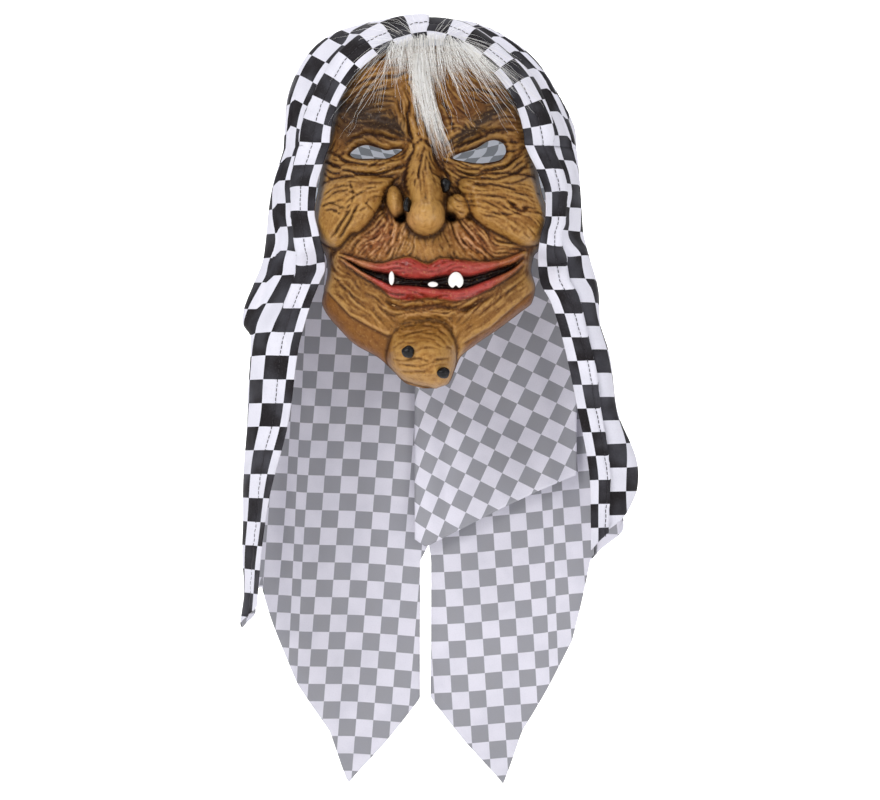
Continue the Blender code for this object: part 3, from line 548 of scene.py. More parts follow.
# How the wrinkles run: lines of (x, z), how far each line's pull reaches, and their strength
wrinkleRuns = (
    (((-68, -60), (-45, -48), (-20, -44)), 12, 0.9),
    (((-60, -68), (-42, -60), (-22, -58), (-12, -64)), 8, 0.9),
    (((-10, -40), (10, -38), (35, -44)), 12, 0.7),
    (((-14, -62), (-12, -78), (-9, -96)), 7, 1.0),
    (((-2, -52), (1, -70), (3, -92)), 8, 0.9),
    (((12, -56), (22, -70), (30, -84)), 9, 0.8),
    (((34, -58), (50, -62), (64, -70)), 10, 0.7),
    (((16, -84), (32, -78), (52, -66)), 6, 0.8),
    (((20, -101), (38, -92), (56, -86), (72, -86)), 7, 1.0),
    (((-76, -74), (-66, -86), (-70, -100)), 7, 0.9),
    (((-64, -88), (-46, -90), (-24, -96)), 6, 0.9),
    (((-80, -108), (-66, -104), (-60, -104)), 6, 1.0),
    (((-16, -108), (-34, -115), (-54, -115), (-74, -106)), 6, 1.3),
    (((-18, -116), (-38, -122), (-58, -121), (-78, -114)), 6, 1.2),
    (((18, -113), (38, -119), (58, -116), (74, -104)), 6, 1.3),
    (((22, -121), (44, -126), (64, -123), (80, -112)), 7, 1.1),
    (((60, -96), (70, -94), (80, -94)), 7, 0.9),
    (((-5, -94), (-5, -114), (-3, -134)), 5, 0.9),
    (((-9, -108), (-15, -118), (-26, -132)), 6, 1.1),
    (((2, -104), (8, -118), (20, -134)), 6, 1.0),
    (((-2, -142), (-2, -166)), 9, 0.25),
    (((-22, -132), (-25, -142), (-24, -154)), 4, 0.4),
    (((-32, -130), (-50, -130), (-76, -140)), 9, 0.6),
    (((-46, -138), (-58, -150), (-68, -166)), 8, 0.5),
    (((30, -134), (50, -134), (78, -140)), 9, 0.9),
    (((34, -146), (52, -154), (72, -166)), 9, 0.8),
    (((-24, -158), (-30, -168), (-40, -180)), 8, 1.5),
    (((-34, -162), (-46, -172), (-58, -180)), 8, 1.5),
    (((-12, -160), (-15, -170), (-20, -180)), 7, 1.2),
    (((0, -164), (0, -184)), 6, 0.5),
    (((12, -160), (15, -170), (20, -180)), 7, 1.1),
    (((24, -160), (32, -170), (42, -180)), 8, 1.3),
    (((34, -166), (50, -176), (66, -180)), 8, 1.2),
    (((-58, -183), (-36, -190), (-14, -188), (0, -194), (20, -190), (44, -190), (66, -181)), 4, 0.7),
    (((-46, -198), (-28, -208), (-6, -211), (14, -211), (34, -208), (58, -194)), 5, 0.9),
    (((-82, -176), (-78, -192), (-62, -206), (-40, -224), (-30, -240)), 10, 0.45),
    (((-68, -190), (-52, -204), (-36, -218), (-26, -232)), 8, 0.6),
    (((80, -178), (76, -196), (58, -210), (38, -226), (24, -242)), 10, 0.4),
    (((66, -196), (50, -206), (36, -218), (24, -230)), 8, 0.6),
    (((-32, -218), (-10, -222), (12, -220), (32, -216)), 7, 1.2),
    (((-26, -230), (-6, -227), (10, -230), (18, -240)), 7, 1.1),
    (((-26, -248), (-8, -242), (8, -243), (18, -252)), 7, 0.6),
    (((-27, -262), (-8, -262), (10, -258), (18, -256)), 7, 0.5),
    (((-20, -272), (0, -276), (12, -274)), 6, 0.4),
)

furrows = (  # line of (x, z), half width, depth
    (((-51.5, -145), (-58.0, -157), (-66.5, -171)), 1.1, 2.4),
    (((-56.5, -147), (-63.5, -158), (-72.5, -170)), 1.1, 2.2),
    (((-80, -146), (-72, -143), (-62, -147), (-55, -144)), 0.9, 1.2),
    (((-46, -143), (-41, -148), (-38, -152)), 0.9, 1.2),
    (((-58, -127), (-55, -136), (-56, -144)), 0.8, 1.1),
    (((-78, -136), (-68, -131), (-56, -130)), 0.9, 1.1),
    (((-57, -150), (-50, -149), (-44, -146)), 0.9, 1.0),
    (((-64, -152), (-70, -148), (-76, -148)), 0.9, 1.0),
    (((-50, -138), (-60, -134), (-72, -136)), 0.8, 0.9),
    (((-36, -131), (-46, -134), (-58, -142)), 0.8, 0.9),
    (((-14, -70), (-15, -84), (-11, -99)), 1.5, 2.4),
    (((-8, -66), (-8, -80), (-7, -90)), 1.1, 1.2),
    (((4, -70), (6, -86), (12, -101)), 1.5, 2.2),
    (((10, -66), (16, -80), (20, -92)), 1.1, 1.2),
    (((-12, -103), (-4, -97), (4, -103)), 1.2, 1.4),
    (((-20, -109), (-38, -114.5), (-58, -112), (-72, -103)), 1.2, 2.0),
    (((-15, -114), (-36, -121), (-58, -119), (-78, -110)), 1.2, 1.8),
    (((-60, -96), (-44, -91.5), (-24, -96)), 1.2, 1.8),
    (((20, -113.5), (40, -118.5), (58, -115), (70, -104)), 1.2, 2.0),
    (((18, -118), (42, -125), (64, -121), (78, -108)), 1.2, 1.6),
    (((20, -103), (34, -96.5), (50, -89.5), (66, -88)), 1.2, 1.8),
    (((-70, -62), (-48, -52), (-22, -48)), 1.3, 1.4),
    (((-64, -70), (-44, -61), (-24, -58)), 1.1, 1.2),
    (((-46, -40), (-30, -34), (-14, -34)), 1.3, 1.2),
    (((24, -60), (42, -60), (60, -68)), 1.2, 1.2),
    (((-13, -140), (-17, -128), (-14, -112), (-10, -104)), 1.5, 2.6),
    (((10, -112), (14, -122), (20, -134)), 1.1, 1.3),
    (((-4, -106), (-6, -120), (-10, -132)), 0.9, 1.0),
    (((1, -104), (2, -118), (6, -130)), 0.9, 1.0),
    (((-2, -140), (-3, -152)), 0.8, 0.5),
    (((-31, -133), (-33, -146), (-28, -158)), 1.6, 1.6),
    (((31, -138), (33, -148), (28, -158)), 1.4, 1.0),
    (((-69, -176), (-73, -184), (-68, -194)), 1.8, 2.0),
    (((75, -174), (79, -184), (73, -196)), 1.8, 2.0),
    (((-34, -213), (-18, -221), (6, -219), (28, -221), (46, -211)), 2.2, 3.0),
    (((-6, -229), (8, -229), (17, -236), (17, -246)), 1.3, 1.3),
    (((-36, -219), (-26, -226), (-8, -223), (10, -224), (22, -226)), 1.2, 1.0),
    (((-20, -236), (-8, -233), (6, -235), (12, -241)), 0.9, 0.8),
    (((-28, -256), (-20, -260), (-8, -258), (2, -261)), 0.8, 1.0),
    (((-20, -267), (-8, -268), (2, -266)), 0.8, 0.8),
    (((4, -246), (12, -250), (19, -250)), 0.8, 0.9),
    (((-22, -242), (-6, -239), (8, -242), (13, -248)), 0.9, 0.8),
    (((-27, -253), (-20, -247), (-8, -247)), 0.9, 1.0),
    (((-22, -262), (-6, -264), (8, -259), (19, -257)), 0.9, 1.0),
    (((60, -144), (68, -149), (74, -147)), 1.8, 3.0),
    (((40, -138), (56, -140), (66, -147)), 0.9, 1.1),
    (((44, -150), (58, -152), (70, -150)), 0.9, 1.1),
    (((30, -130), (50, -130), (76, -138)), 1.0, 1.2),
    (((-74, -192), (-58, -210), (-42, -224)), 1.0, 0.8),
    (((70, -200), (52, -214), (36, -228)), 1.0, 0.7),
)

eyeLeft = (
    (-57.8, -105.4), (-52.9, -100.9), (-45.6, -99.0), (-36.9, -101.2), (-31.0, -103.2), (-24.7, -102.6),
    (-19.1, -103.2), (-24.7, -107.1), (-31.0, -109.5), (-42.1, -109.3), (-53.2, -108.9),
)
eyeRight = (
    (18.9, -109.7), (23.1, -106.0), (35.5, -101.9), (44.1, -96.6), (50.2, -95.4), (55.8, -97.5),
    (58.0, -101.9), (57.0, -106.6), (52.2, -111.0), (40.4, -113.1), (30.6, -112.2),
)


jawLines = (  # the jaw's lower ridges, with the plain shell under them
    ((-86.0, -196.0), (-75.6, -206.2), (-58.2, -224.7), (-42.0, -234.0), (-29.8, -240.0)),
    ((22.0, -248.3), (34.0, -241.0), (46.8, -233.5), (62.0, -220.0), (77.5, -207.0), (86.0, -198.0)),
)


def underJaw():
    total = np.zeros(gridX.shape)
    for line in jawLines:
        line = np.array(line)
        level = np.interp(gridX, line[:, 0], line[:, 1])
        inward = np.sign(line[:, 0].mean())
        side = smoothStep(24, 30, gridX * inward)
        total += smoothStep(0.6, -1.6, gridZ - level) * side
    return total


def buildForward():  # the face's forms, in millimetres forward of the plain shell
    forward = np.zeros(gridX.shape)
    for x, z, wide, tall, turn, height in softForms:
        forward += height * mound(x, z, wide, tall, turn)
    lumps = np.zeros(gridX.shape)
    depth = loopDepth(cheekLeft)
    lumps = joined(lumps, 18.0 * roundEdge(depth, 10 + 18 * smoothStep(-150, -128, gridZ)), 1.5)
    depth = loopDepth(cheekRight)
    lumps = joined(lumps, 19.0 * roundEdge(depth, 12 + 18 * smoothStep(-150, -126, gridZ)), 1.5)
    knob = 34.0 * roundEdge(loopDepth(chinKnob), 23.0) * (0.06 + 0.94 * smoothStep(-226, -254, gridZ))
    lumps = joined(lumps, knob, 3.0)
    bridge = np.array(noseBridge)
    line = roundedLine(bridge[:, :2])
    away, _, (half, height) = nearestOn(line, bridge[:, 2:])
    nose = height * (1 - smoothStep(0.22, 1.32, away / half))
    for x, z, wide, tall, turn, height in noseDomes:
        nose = joined(nose, height * dome(x, z, wide, tall, turn), 3.0)
    lumps = joined(lumps, nose, 3.0)
    forward += lumps
    for x, z, wide, tall, turn in nostrils:
        forward -= 13.0 * mound(x, z, wide, tall, turn, 2.6)
    return forward - 3.2 * jawShade


def buildMouth():
    top, slitTop, slitLow, low = (tableCurve(mouthRows, place, gridX) for place in (1, 2, 3, 4))
    ends = smoothStep(-70, -52, gridX) * smoothStep(78, 60, gridX)
    upper = np.clip((top - gridZ) / np.maximum(top - slitTop, 0.4), 0, 1)
    lower = np.clip((slitLow - gridZ) / np.maximum(slitLow - low, 0.4), 0, 1)
    upperLip = 6.5 * np.sin(np.pi * upper**0.8) ** 0.7 * (upper < 1)
    lowerLip = 6.8 * np.sin(np.pi * lower**0.75) ** 0.7 * (lower < 1)
    slit = smoothStep(slitTop + 0.5, slitTop - 0.9, gridZ) * smoothStep(slitLow - 0.5, slitLow + 0.9, gridZ)
    lips = np.maximum(upperLip, lowerLip) * ends
    redUpper = smoothStep(0.0, 0.12, upper) * (gridZ > (slitTop + slitLow) / 2)
    redLower = smoothStep(1.0, 0.86, lower) * (gridZ <= (slitTop + slitLow) / 2)
    red = np.clip(redUpper + redLower, 0, 1)
    red *= 0.32 * smoothStep(-66, -56, gridX) + 0.68 * smoothStep(-50, -34, gridX)
    red *= 0.4 * smoothStep(74, 64, gridX) + 0.6 * smoothStep(60, 42, gridX)
    slit *= smoothStep(-64, -50, gridX) * smoothStep(71, 58, gridX)
    return lips - 8.5 * slit, slit, red


def flowAngles():
    double = np.zeros((2, *gridX.shape))
    strength = np.full(gridX.shape, 1e-4 * 0.5)
    weightSum = np.full(gridX.shape, 1e-4)
    for points, reach, pull in wrinkleRuns:
        line = roundedLine(points, steps=5)
        away, share = nearestOn(line)
        runs = np.diff(line, axis=0)
        angles = np.unwrap(np.arctan2(runs[:, 1], runs[:, 0]))
        places = (np.arange(len(angles)) + 0.5) / len(angles)
        angle = np.interp(share, places, angles)
        weight = np.exp(-0.5 * (away / reach * 1.6) ** 2)
        double += weight * np.array((np.cos(2 * angle), np.sin(2 * angle)))
        strength += weight * pull
        weightSum += weight
    return 0.5 * np.arctan2(double[1], double[0]), strength / weightSum


def combed(noise, angle, reach):  # noise drawn out along the flow
    rowAt, columnAt = np.indices(gridX.shape)
    stepX, stepZ = np.cos(angle), -np.sin(angle)
    total = noise.copy()
    steps = int(reach / faceSettings["pixel"])
    for sense in (1, -1):
        column, row = columnAt.astype(float), rowAt.astype(float)
        alongX, alongZ = stepX * sense, stepZ * sense
        for _ in range(steps):
            column += alongX
            row += alongZ
            near = (np.clip(np.rint(row), 0, gridX.shape[0] - 1).astype(int),
                    np.clip(np.rint(column), 0, gridX.shape[1] - 1).astype(int))
            total += noise[near]
            nextX, nextZ = stepX[near], stepZ[near]
            turned = np.where(nextX * alongX + nextZ * alongZ < 0, -1, 1)
            alongX, alongZ = nextX * turned, nextZ * turned
    total = blurred(total, 0.35)
    total -= blurred(total, 4.0)
    return total / total.std()


def bandNoise(fine, coarse):
    field = random.standard_normal(gridX.shape)
    field = blurred(field, fine) - blurred(field, coarse)
    return field / field.std()


def creased(field):  # round ridges with sharper valleys between them
    return np.where(field > 0, np.sqrt(np.abs(field) + 0.04) - 0.2, -np.abs(field) ** 1.25)


jawShade = underJaw()
forms = buildForward()
mouth, mouthSlit, lipRed = buildMouth()
forms += mouth
angle, wrinkleStrength = flowAngles()
angle = angle + 0.22 * bandNoise(4.0, 12.0)
broad = combed(bandNoise(0.95, 2.3), angle, 8.0)
fine = combed(bandNoise(0.5, 1.15), angle, 5.5)
wrinkleStrength = wrinkleStrength * (1 - 0.85 * jawShade)
wrinkles = wrinkleStrength * (0.40 * creased(broad) + 0.30 * creased(fine))
cuts = np.zeros(gridX.shape)
for points, half, depth in furrows:
    line = roundedLine(points)
    away, share = nearestOn(line)
    taper = np.clip(np.sin(np.pi * np.clip(share * 0.94 + 0.03, 0, 1)) * 2.2, 0, 1)
    away = away + 0.5 * fine * 0.4
    raised = 0.28 * depth * taper * np.exp(-(((away - 2.2 * half) / half) ** 2))  # skin pushed up beside the furrow
    cuts += depth * taper * np.exp(-((away / half) ** 2)) - raised
eyeDepth = np.maximum(loopDepth(eyeLeft), loopDepth(eyeRight))
lids = 1.6 * np.exp(-(((eyeDepth + 3.4) / 2.0) ** 2)) - 1.2 * np.exp(-(((eyeDepth + 0.2) / 1.3) ** 2))
relief = wrinkles - cuts + lids
fade = np.clip((1 - np.abs(gridX) / np.maximum(faceHalfWidth(gridX, gridZ), 1)) * 12, 0, 1)
forwardMap = plainForward(gridX, gridZ) + fade * (forms + relief)
smoothMap = plainForward(gridX, gridZ) + fade * forms
print("face map worked out")


# Paint on the face: a tan coat, a dark wash in the creases that is also painted shade, and a lighter rub on what
# stands out that is also a painted highlight

paintSettings = {
    "coat": "8c612c",
    "rub": "b48a4a",
    "wash": "2c1509",
    "lip": "7e1719",
    "lipLight": "c04f49",
    "mouthDark": "1d0909",
    "brow": "1b1512",
    "inside": "c49a66",
}

paintPatches = (  # x, z, wide, tall, turn, colour, strength
    (-48.0, -74.0, 30.0, 20.0, 6.0, "22130a", 0.86),
    (-56.0, -60.0, 26.0, 12.0, 14.0, "2b170b", 0.80),
    (-40.0, -44.0, 24.0, 9.0, 30.0, "8a5a26", 0.55),
    (0.0, -34.0, 60.0, 12.0, 0.0, "5a3519", 0.60),
    (48.0, -66.0, 34.0, 24.0, -30.0, "442613", 0.82),
    (20.0, -76.0, 18.0, 20.0, 0.0, "5a341a", 0.70),
    (-62.0, -84.0, 18.0, 16.0, 0.0, "2b170a", 0.80),
    (-40.0, -90.0, 26.0, 9.0, -4.0, "3a2010", 0.75),
    (-70.0, -106.0, 12.0, 16.0, 0.0, "5a3719", 0.60),
    (40.0, -90.0, 26.0, 9.0, 24.0, "3f2412", 0.72),
    (70.0, -100.0, 12.0, 18.0, 0.0, "6d4520", 0.55),
    (-46.0, -117.0, 32.0, 12.0, 4.0, "57320f", 0.70),
    (46.0, -119.0, 34.0, 12.0, 8.0, "523013", 0.70),
    (8.0, -94.0, 16.0, 24.0, 0.0, "553115", 0.62),
    (-12.0, -62.0, 12.0, 22.0, 0.0, "9a6a34", 0.45),
    (-16.0, -124.0, 8.0, 20.0, -20.0, "5c3516", 0.55),
    (12.0, -120.0, 10.0, 22.0, 24.0, "5f3b18", 0.60),
    # The next two patches are painted shadow along the lower edges of the cheek lumps
    (-36.0, -160.0, 10.0, 16.0, -46.0, "6b3719", 0.75),
    (38.0, -166.0, 16.0, 9.0, -34.0, "6e3b1c", 0.65),
    (-36.0, -172.0, 22.0, 12.0, 36.0, "8e4a2c", 0.55),
    (34.0, -174.0, 24.0, 10.0, -30.0, "91502f", 0.50),
    (-74.0, -184.0, 8.0, 12.0, 0.0, "4e2912", 0.70),
    (78.0, -184.0, 8.0, 12.0, 0.0, "5b3317", 0.60),
    (67.0, -149.0, 8.0, 6.0, 0.0, "8a4a2a", 0.60),
    (-62.0, -183.0, 8.0, 5.0, 0.0, "5a2416", 0.70),
    (68.0, -182.0, 8.0, 6.0, 0.0, "7a3520", 0.65),
    (0.0, -219.0, 36.0, 5.0, 0.0, "6f3a22", 0.60),
    (36.0, -214.0, 12.0, 6.0, 30.0, "6a3a20", 0.60),
    (-1.6, -153.0, 15.0, 14.0, 0.0, "b48c4c", 0.62),
    (-62.0, -148.0, 18.0, 16.0, 34.0, "ad8449", 0.55),
    (62.0, -146.0, 24.0, 20.0, -16.0, "7a5124", 0.55),
    (-6.0, -256.0, 22.0, 20.0, 0.0, "a5783e", 0.45),
    (-60.0, -206.0, 26.0, 18.0, -40.0, "66401a", 0.74),
    (58.0, -208.0, 26.0, 18.0, 42.0, "66401a", 0.74),
    (0.0, -177.0, 13.0, 10.0, 0.0, "b98a52", 0.60),
)

brows = (  # x, z, half width
    ((-70.0, -70.0, 4.0), (-60.0, -72.0, 5.2), (-50.0, -78.0, 5.6), (-38.0, -82.5, 5.4), (-27.0, -85.0, 5.6),
     (-20.5, -92.0, 3.2)),
    ((19.5, -98.5, 2.6), (29.0, -93.5, 4.2), (39.0, -84.5, 4.2), (52.0, -73.0, 3.6), (63.0, -68.0, 2.4)),
)
# Pale pink on the ridges beside and below the mouth: a painted highlight, the shine of the glossy paint
paintedShinePatches = (  # x, z, wide, tall, turn
    (-34.0, -172.0, 24.0, 12.0, 36.0),
    (30.0, -171.0, 18.0, 10.0, -34.0),
    (-10.0, -232.0, 26.0, 6.0, 0.0),
)


def painted():
    layer = lambda text: linearColour(text)[None, None, :]
    blend = lambda below, text, mask: below * (1 - mask[..., None]) + layer(text) * mask[..., None]
    cavity = blurred(forwardMap, 1.8) - forwardMap
    pitted = blurred(forwardMap, 0.8) - forwardMap
    deep = blurred(forwardMap, 5.0) - forwardMap
    colour = np.ones((*gridX.shape, 3)) * layer(paintSettings["coat"])
    for x, z, wide, tall, turn, text, strength in paintPatches:
        colour = blend(colour, text, strength * mound(x, z, wide, tall, turn))
    patchy = bandNoise(3.0, 9.0)
    colour = blend(colour, "7e4f24", 0.16 * smoothStep(0.2, 1.6, patchy))
    colour = blend(colour, "7a4d20", 0.76 * jawShade)
    stained = np.clip(
        0.85 * mound(-48.0, -76.0, 34.0, 22.0, 6.0) + 0.65 * mound(46.0, -72.0, 32.0, 20.0, -24.0)
        + 0.55 * mound(0.0, -32.0, 70.0, 12.0, 0.0) + 0.5 * mound(-66.0, -90.0, 14.0, 18.0, 0.0),
        0, 0.85,
    )
    # The lighter rub on the ridges is the mask's dry-brushed paint and a painted highlight as well; less of it on
    # the lips, under the jaw and on the stained brow
    rubHighlightShare = (1 - 0.5 * lipRed) * (1 - jawShade) * (1 - stained)
    colour = blend(colour, paintSettings["rub"], 0.66 * smoothStep(0.04, 0.55, -cavity) * rubHighlightShare)
    colour = blend(colour, paintSettings["lip"], lipRed * 0.93)
    # Lighter red on the lips' ridges: a painted highlight, the shine of the glossy lips
    colour = blend(colour, paintSettings["lipLight"], lipRed * 0.46 * smoothStep(0.1, 0.7, -cavity))
    calm = (1 - 0.42 * smoothStep(-196, -216, gridZ)
            - 0.22 * smoothStep(-124, -134, gridZ) * smoothStep(-200, -190, gridZ))
    wash = paintSettings["wash"]
    # The dark wash in the creases and fine pits: the mask's own wash paint, and painted shade there as well
    colour = blend(colour, wash, 0.88 * smoothStep(0.06, 0.80, cavity) * (1 - 0.20 * lipRed) * calm)
    colour = blend(colour, wash, 0.62 * smoothStep(0.05, 0.28, pitted) * (1 - 0.25 * lipRed) * calm)
    # Painted shade in the broad hollows, less of it on the chin
    colour = blend(colour, wash, 0.45 * smoothStep(1.4, 6.0, deep) * (1 - 0.7 * smoothStep(-218, -236, gridZ)))
    # Near-black in the mouth's slit: its dark paint, and painted shade deep in the groove as well
    colour = blend(colour, paintSettings["mouthDark"], np.clip(mouthSlit * 1.1, 0, 1))
    # Painted shadow: dark brown within a few millimetres of the face's side edges, down to the mouth, where the
    # face meets the hood
    rim = smoothStep(9.0, 2.0, faceHalfWidth(gridX, gridZ) - np.abs(gridX)) * smoothStep(-206, -190, gridZ)
    colour = blend(colour, "351e0e", 0.62 * rim)
    # Near-black in the nostrils: their dark paint, and painted shade deep in the pits as well
    for x, z, wide, tall, turn in nostrils:
        colour = blend(colour, "160a06", 0.95 * mound(x, z, wide * 1.05, tall * 1.05, turn, 3.0))
    # Painted highlight on the ridge tops in these patches
    for x, z, wide, tall, turn in paintedShinePatches:
        colour = blend(colour, "d9a07c", 0.55 * smoothStep(0.15, 0.65, -cavity) * mound(x, z, wide, tall, turn))
    for stroke in brows:
        table = np.array(stroke)
        away, _, (half,) = nearestOn(roundedLine(table[:, :2]), table[:, 2:])
        ragged = away + 1.4 * broad + 1.2 * fine
        colour = blend(colour, paintSettings["brow"], 0.93 * smoothStep(1.25, 0.55, ragged / half))
        colour = blend(colour, "3b2412", 0.45 * smoothStep(2.6, 0.9, ragged / half))
    gloss = np.clip(0.12 + 0.6 * smoothStep(0.0, 0.8, -cavity) + 0.6 * lipRed
                    + 0.35 * mound(0.0, -175.0, 60.0, 22.0, 0.0) * smoothStep(-0.2, 0.4, -cavity), 0, 1)
    return colour, gloss


paintMap, glossMap = painted()
print("face painted")


def solidMesh(name, points, faces, materials, smooth=True):
    mesh = bpy.data.meshes.new(name)
    mesh.from_pydata([tuple(point) for point in points], [], [tuple(face) for face in faces])
    for material in materials:
        mesh.materials.append(material)
    if smooth:
        mesh.shade_smooth()
    piece = bpy.data.objects.new(name, mesh)
    bpy.context.scene.collection.objects.link(piece)
    return piece


def faceOutward(piece):  # turns a closed shell's faces if its volume is negative
    mesh = piece.data
    mesh.calc_loop_triangles()
    points = np.array([vertex.co for vertex in mesh.vertices])
    triangles = np.array([triangle.vertices for triangle in mesh.loop_triangles])
    a, b, c = (points[triangles[:, place]] for place in range(3))
    if np.einsum("ij,ij->i", a, np.cross(b, c)).sum() < 0:
        mesh.flip_normals()
    return piece


def evenFaces(piece):  # merges doubles and turns every face the same way
    work = bmesh.new()
    work.from_mesh(piece.data)
    bmesh.ops.remove_doubles(work, verts=work.verts, dist=1e-6)
    bmesh.ops.recalc_face_normals(work, faces=work.faces)
    work.to_mesh(piece.data)
    work.free()
    return piece


def frozen(piece):  # the modifiers' result as a plain mesh
    bpy.context.view_layer.update()
    made = bpy.data.meshes.new_from_object(piece.evaluated_get(bpy.context.evaluated_depsgraph_get()))
    made.name = piece.name
    piece.modifiers.clear()
    old = piece.data
    piece.data = made
    bpy.data.meshes.remove(old)
    return piece


def eyeCutter(name, outline):
    loop = roundedLine(outline, closed=True, steps=6)
    count = len(loop)
    points = [(x * mm, y, z * mm) for y in (-0.2, -0.01) for x, z in loop]
    faces = [tuple(range(count)), tuple(range(2 * count - 1, count - 1, -1))]
    faces += [(a, a + count, (a + 1) % count + count, (a + 1) % count) for a in range(count)]
    return faceOutward(solidMesh(name, points, faces, [latexFinish], smooth=False))


def faceGrid():
    rows, columns = faceSettings["rows"], faceSettings["columns"]
    levels = np.linspace(0, 1, rows + 1)
    z = -faceSettings["drop"] - levels * faceSettings["height"]
    turns = np.linspace(-1, 1, 1201)
    side = turns * (1.18 - 0.18 * turns**2)
    placeX = np.zeros((rows + 1, columns + 1))
    for number, height in enumerate(z):
        x = side * faceHalfWidth(side, height)
        forward = plainForward(x, np.full_like(x, height))
        run = np.concatenate(([0], np.cumsum(np.hypot(np.diff(x), 0.55 * np.diff(forward)))))
        placeX[number] = np.interp(np.linspace(0, run[-1], columns + 1), run, x)
    placeZ = np.repeat(z[:, None], columns + 1, axis=1)
    return placeX, placeZ


def buildFace():
    x, z = faceGrid()
    rows, columns = x.shape
    outer = np.stack((x, -sampleMap(forwardMap, x, z), z), -1)
    out = np.abs(x) / np.maximum(faceHalfWidth(x, z), 0.5)
    edge = smoothStep(0.965, 1.0, out)
    outer[..., 1] = outer[..., 1] * (1 - edge) - plainForward(x, z) * edge
    step = faceSettings["innerStep"]
    wall = faceSettings["wall"]
    innerMap = blurred(spread(smoothMap, 3.0, np.min), 1.5)
    coarseX, coarseZ = x[::step, ::step], z[::step, ::step]
    shrink = 1 - wall / np.maximum(faceHalfWidth(coarseX, coarseZ), 4 * wall)
    innerX = coarseX * shrink
    top, low = -faceSettings["drop"], -faceSettings["drop"] - faceSettings["height"]
    innerZ = coarseZ + wall * smoothStep(low + 12, low, coarseZ) - wall * smoothStep(top - 12, top, coarseZ)
    plainInner = plainForward(innerX, innerZ, wall)
    lumps = sampleMap(innerMap, innerX, innerZ) - plainForward(innerX, innerZ)
    fadeInner = smoothStep(1.0, 0.90, np.abs(innerX) / np.maximum(faceHalfWidth(innerX, innerZ) - wall, 1.0))
    inner = np.stack((innerX, -(plainInner + np.minimum(lumps, 60.0) * fadeInner - wall * fadeInner), innerZ), -1)
    points = np.concatenate((outer.reshape(-1, 3), inner.reshape(-1, 3))) * mm
    number = np.arange(rows * columns).reshape(rows, columns)
    innerNumber = rows * columns + np.arange(inner.shape[0] * inner.shape[1]).reshape(inner.shape[:2])
    a, b, c, d = number[:-1, :-1], number[1:, :-1], number[1:, 1:], number[:-1, 1:]
    faces = np.stack((a, b, c, d), -1).reshape(-1, 4).tolist()
    a, b, c, d = innerNumber[:-1, :-1], innerNumber[1:, :-1], innerNumber[1:, 1:], innerNumber[:-1, 1:]
    faces += np.stack((a, d, c, b), -1).reshape(-1, 4).tolist()
    for fineLine, coarseLine, flip in (
        (number[0], innerNumber[0], False),
        (number[-1], innerNumber[-1], True),
        (number[:, 0], innerNumber[:, 0], True),
        (number[:, -1], innerNumber[:, -1], False),
    ):
        for place in range(len(coarseLine) - 1):
            strip = list(fineLine[place * step:place * step + step + 1])
            half = len(strip) // 2
            for near, far in zip(strip[:half], strip[1:half + 1]):
                ring = [near, far, coarseLine[place]]
                faces.append(ring[::-1] if not flip else ring)
            ring = [strip[half], coarseLine[place + 1], coarseLine[place]]
            faces.append(ring[::-1] if not flip else ring)
            for near, far in zip(strip[half:-1], strip[half + 1:]):
                ring = [near, far, coarseLine[place + 1]]
                faces.append(ring[::-1] if not flip else ring)
    face = faceOutward(evenFaces(solidMesh("faceSkin", points, faces, [latexFinish])))
    cutters = [eyeCutter("eyeCutLeft", eyeLeft), eyeCutter("eyeCutRight", eyeRight)]
    for cutter in cutters:
        cut = face.modifiers.new(cutter.name, "BOOLEAN")
        cut.operation = "DIFFERENCE"
        cut.object = cutter
        cut.solver = "MANIFOLD"
    frozen(face)
    for cutter in cutters:
        bpy.data.objects.remove(cutter)
    mesh = face.data
    mesh.shade_smooth()
    places = np.zeros(len(mesh.vertices) * 3)
    mesh.vertices.foreach_get("co", places)
    places = places.reshape(-1, 3) / mm
    colour = sampleMap(paintMap, places[:, 0], places[:, 2])
    gloss = sampleMap(glossMap, places[:, 0], places[:, 2])
    behind = sampleMap(forwardMap, places[:, 0], places[:, 2]) + places[:, 1]
    sides = np.abs(places[:, 0]) / np.maximum(faceHalfWidth(places[:, 0], places[:, 2]), 0.5)
    inside = smoothStep(0.6, 1.2, behind) * (sides < 0.985)
    colour = colour * (1 - inside[:, None]) + linearColour(paintSettings["inside"]) * inside[:, None]
    paint = mesh.attributes.new("paint", "FLOAT_COLOR", "POINT")
    paint.data.foreach_set("color", np.concatenate((colour, np.ones((len(colour), 1))), 1).ravel())
    shine = mesh.attributes.new("gloss", "FLOAT", "POINT")
    shine.data.foreach_set("value", gloss * (1 - inside) + 0.2 * inside)
    return face


faceSkin = buildFace()
print("face built", len(faceSkin.data.vertices), "points")


def faceFront(x, z, reach=0.0):  # y of the face's surface, or of the foremost of it within reach, in metres
    field = forwardMap if not reach else spread(forwardMap, reach, np.max)
    return -sampleMap(field, np.asarray(x, float) / mm, np.asarray(z, float) / mm) * mm


coverMap = blurred(spread(smoothMap, 4.0, np.max), 3.0)


def overFace(x, z):  # y just in front of the face, or +1 where there is no face
    low, high = -faceSettings["drop"] - faceSettings["height"], -faceSettings["drop"]
    held = np.minimum(z / mm, high - 1.0)
    width = faceHalfWidth(x, held)
    beside = smoothStep(width - 16, width + 5, np.abs(x) / mm) * smoothStep(high - 6, high + 3, z / mm)
    above = smoothStep(high + 2, high + 18, z / mm)
    at = -sampleMap(coverMap, x / mm, held) * mm + 0.05 * np.maximum(beside, above)
    on = (np.abs(x) / mm < width + 6 * (z / mm > high)) & (z / mm > low) & (z / mm < high + 18)
    return np.where(on, at, 1.0)


# Cloth: the hood over the crown with its hanging sides, lofted as in the CAD model

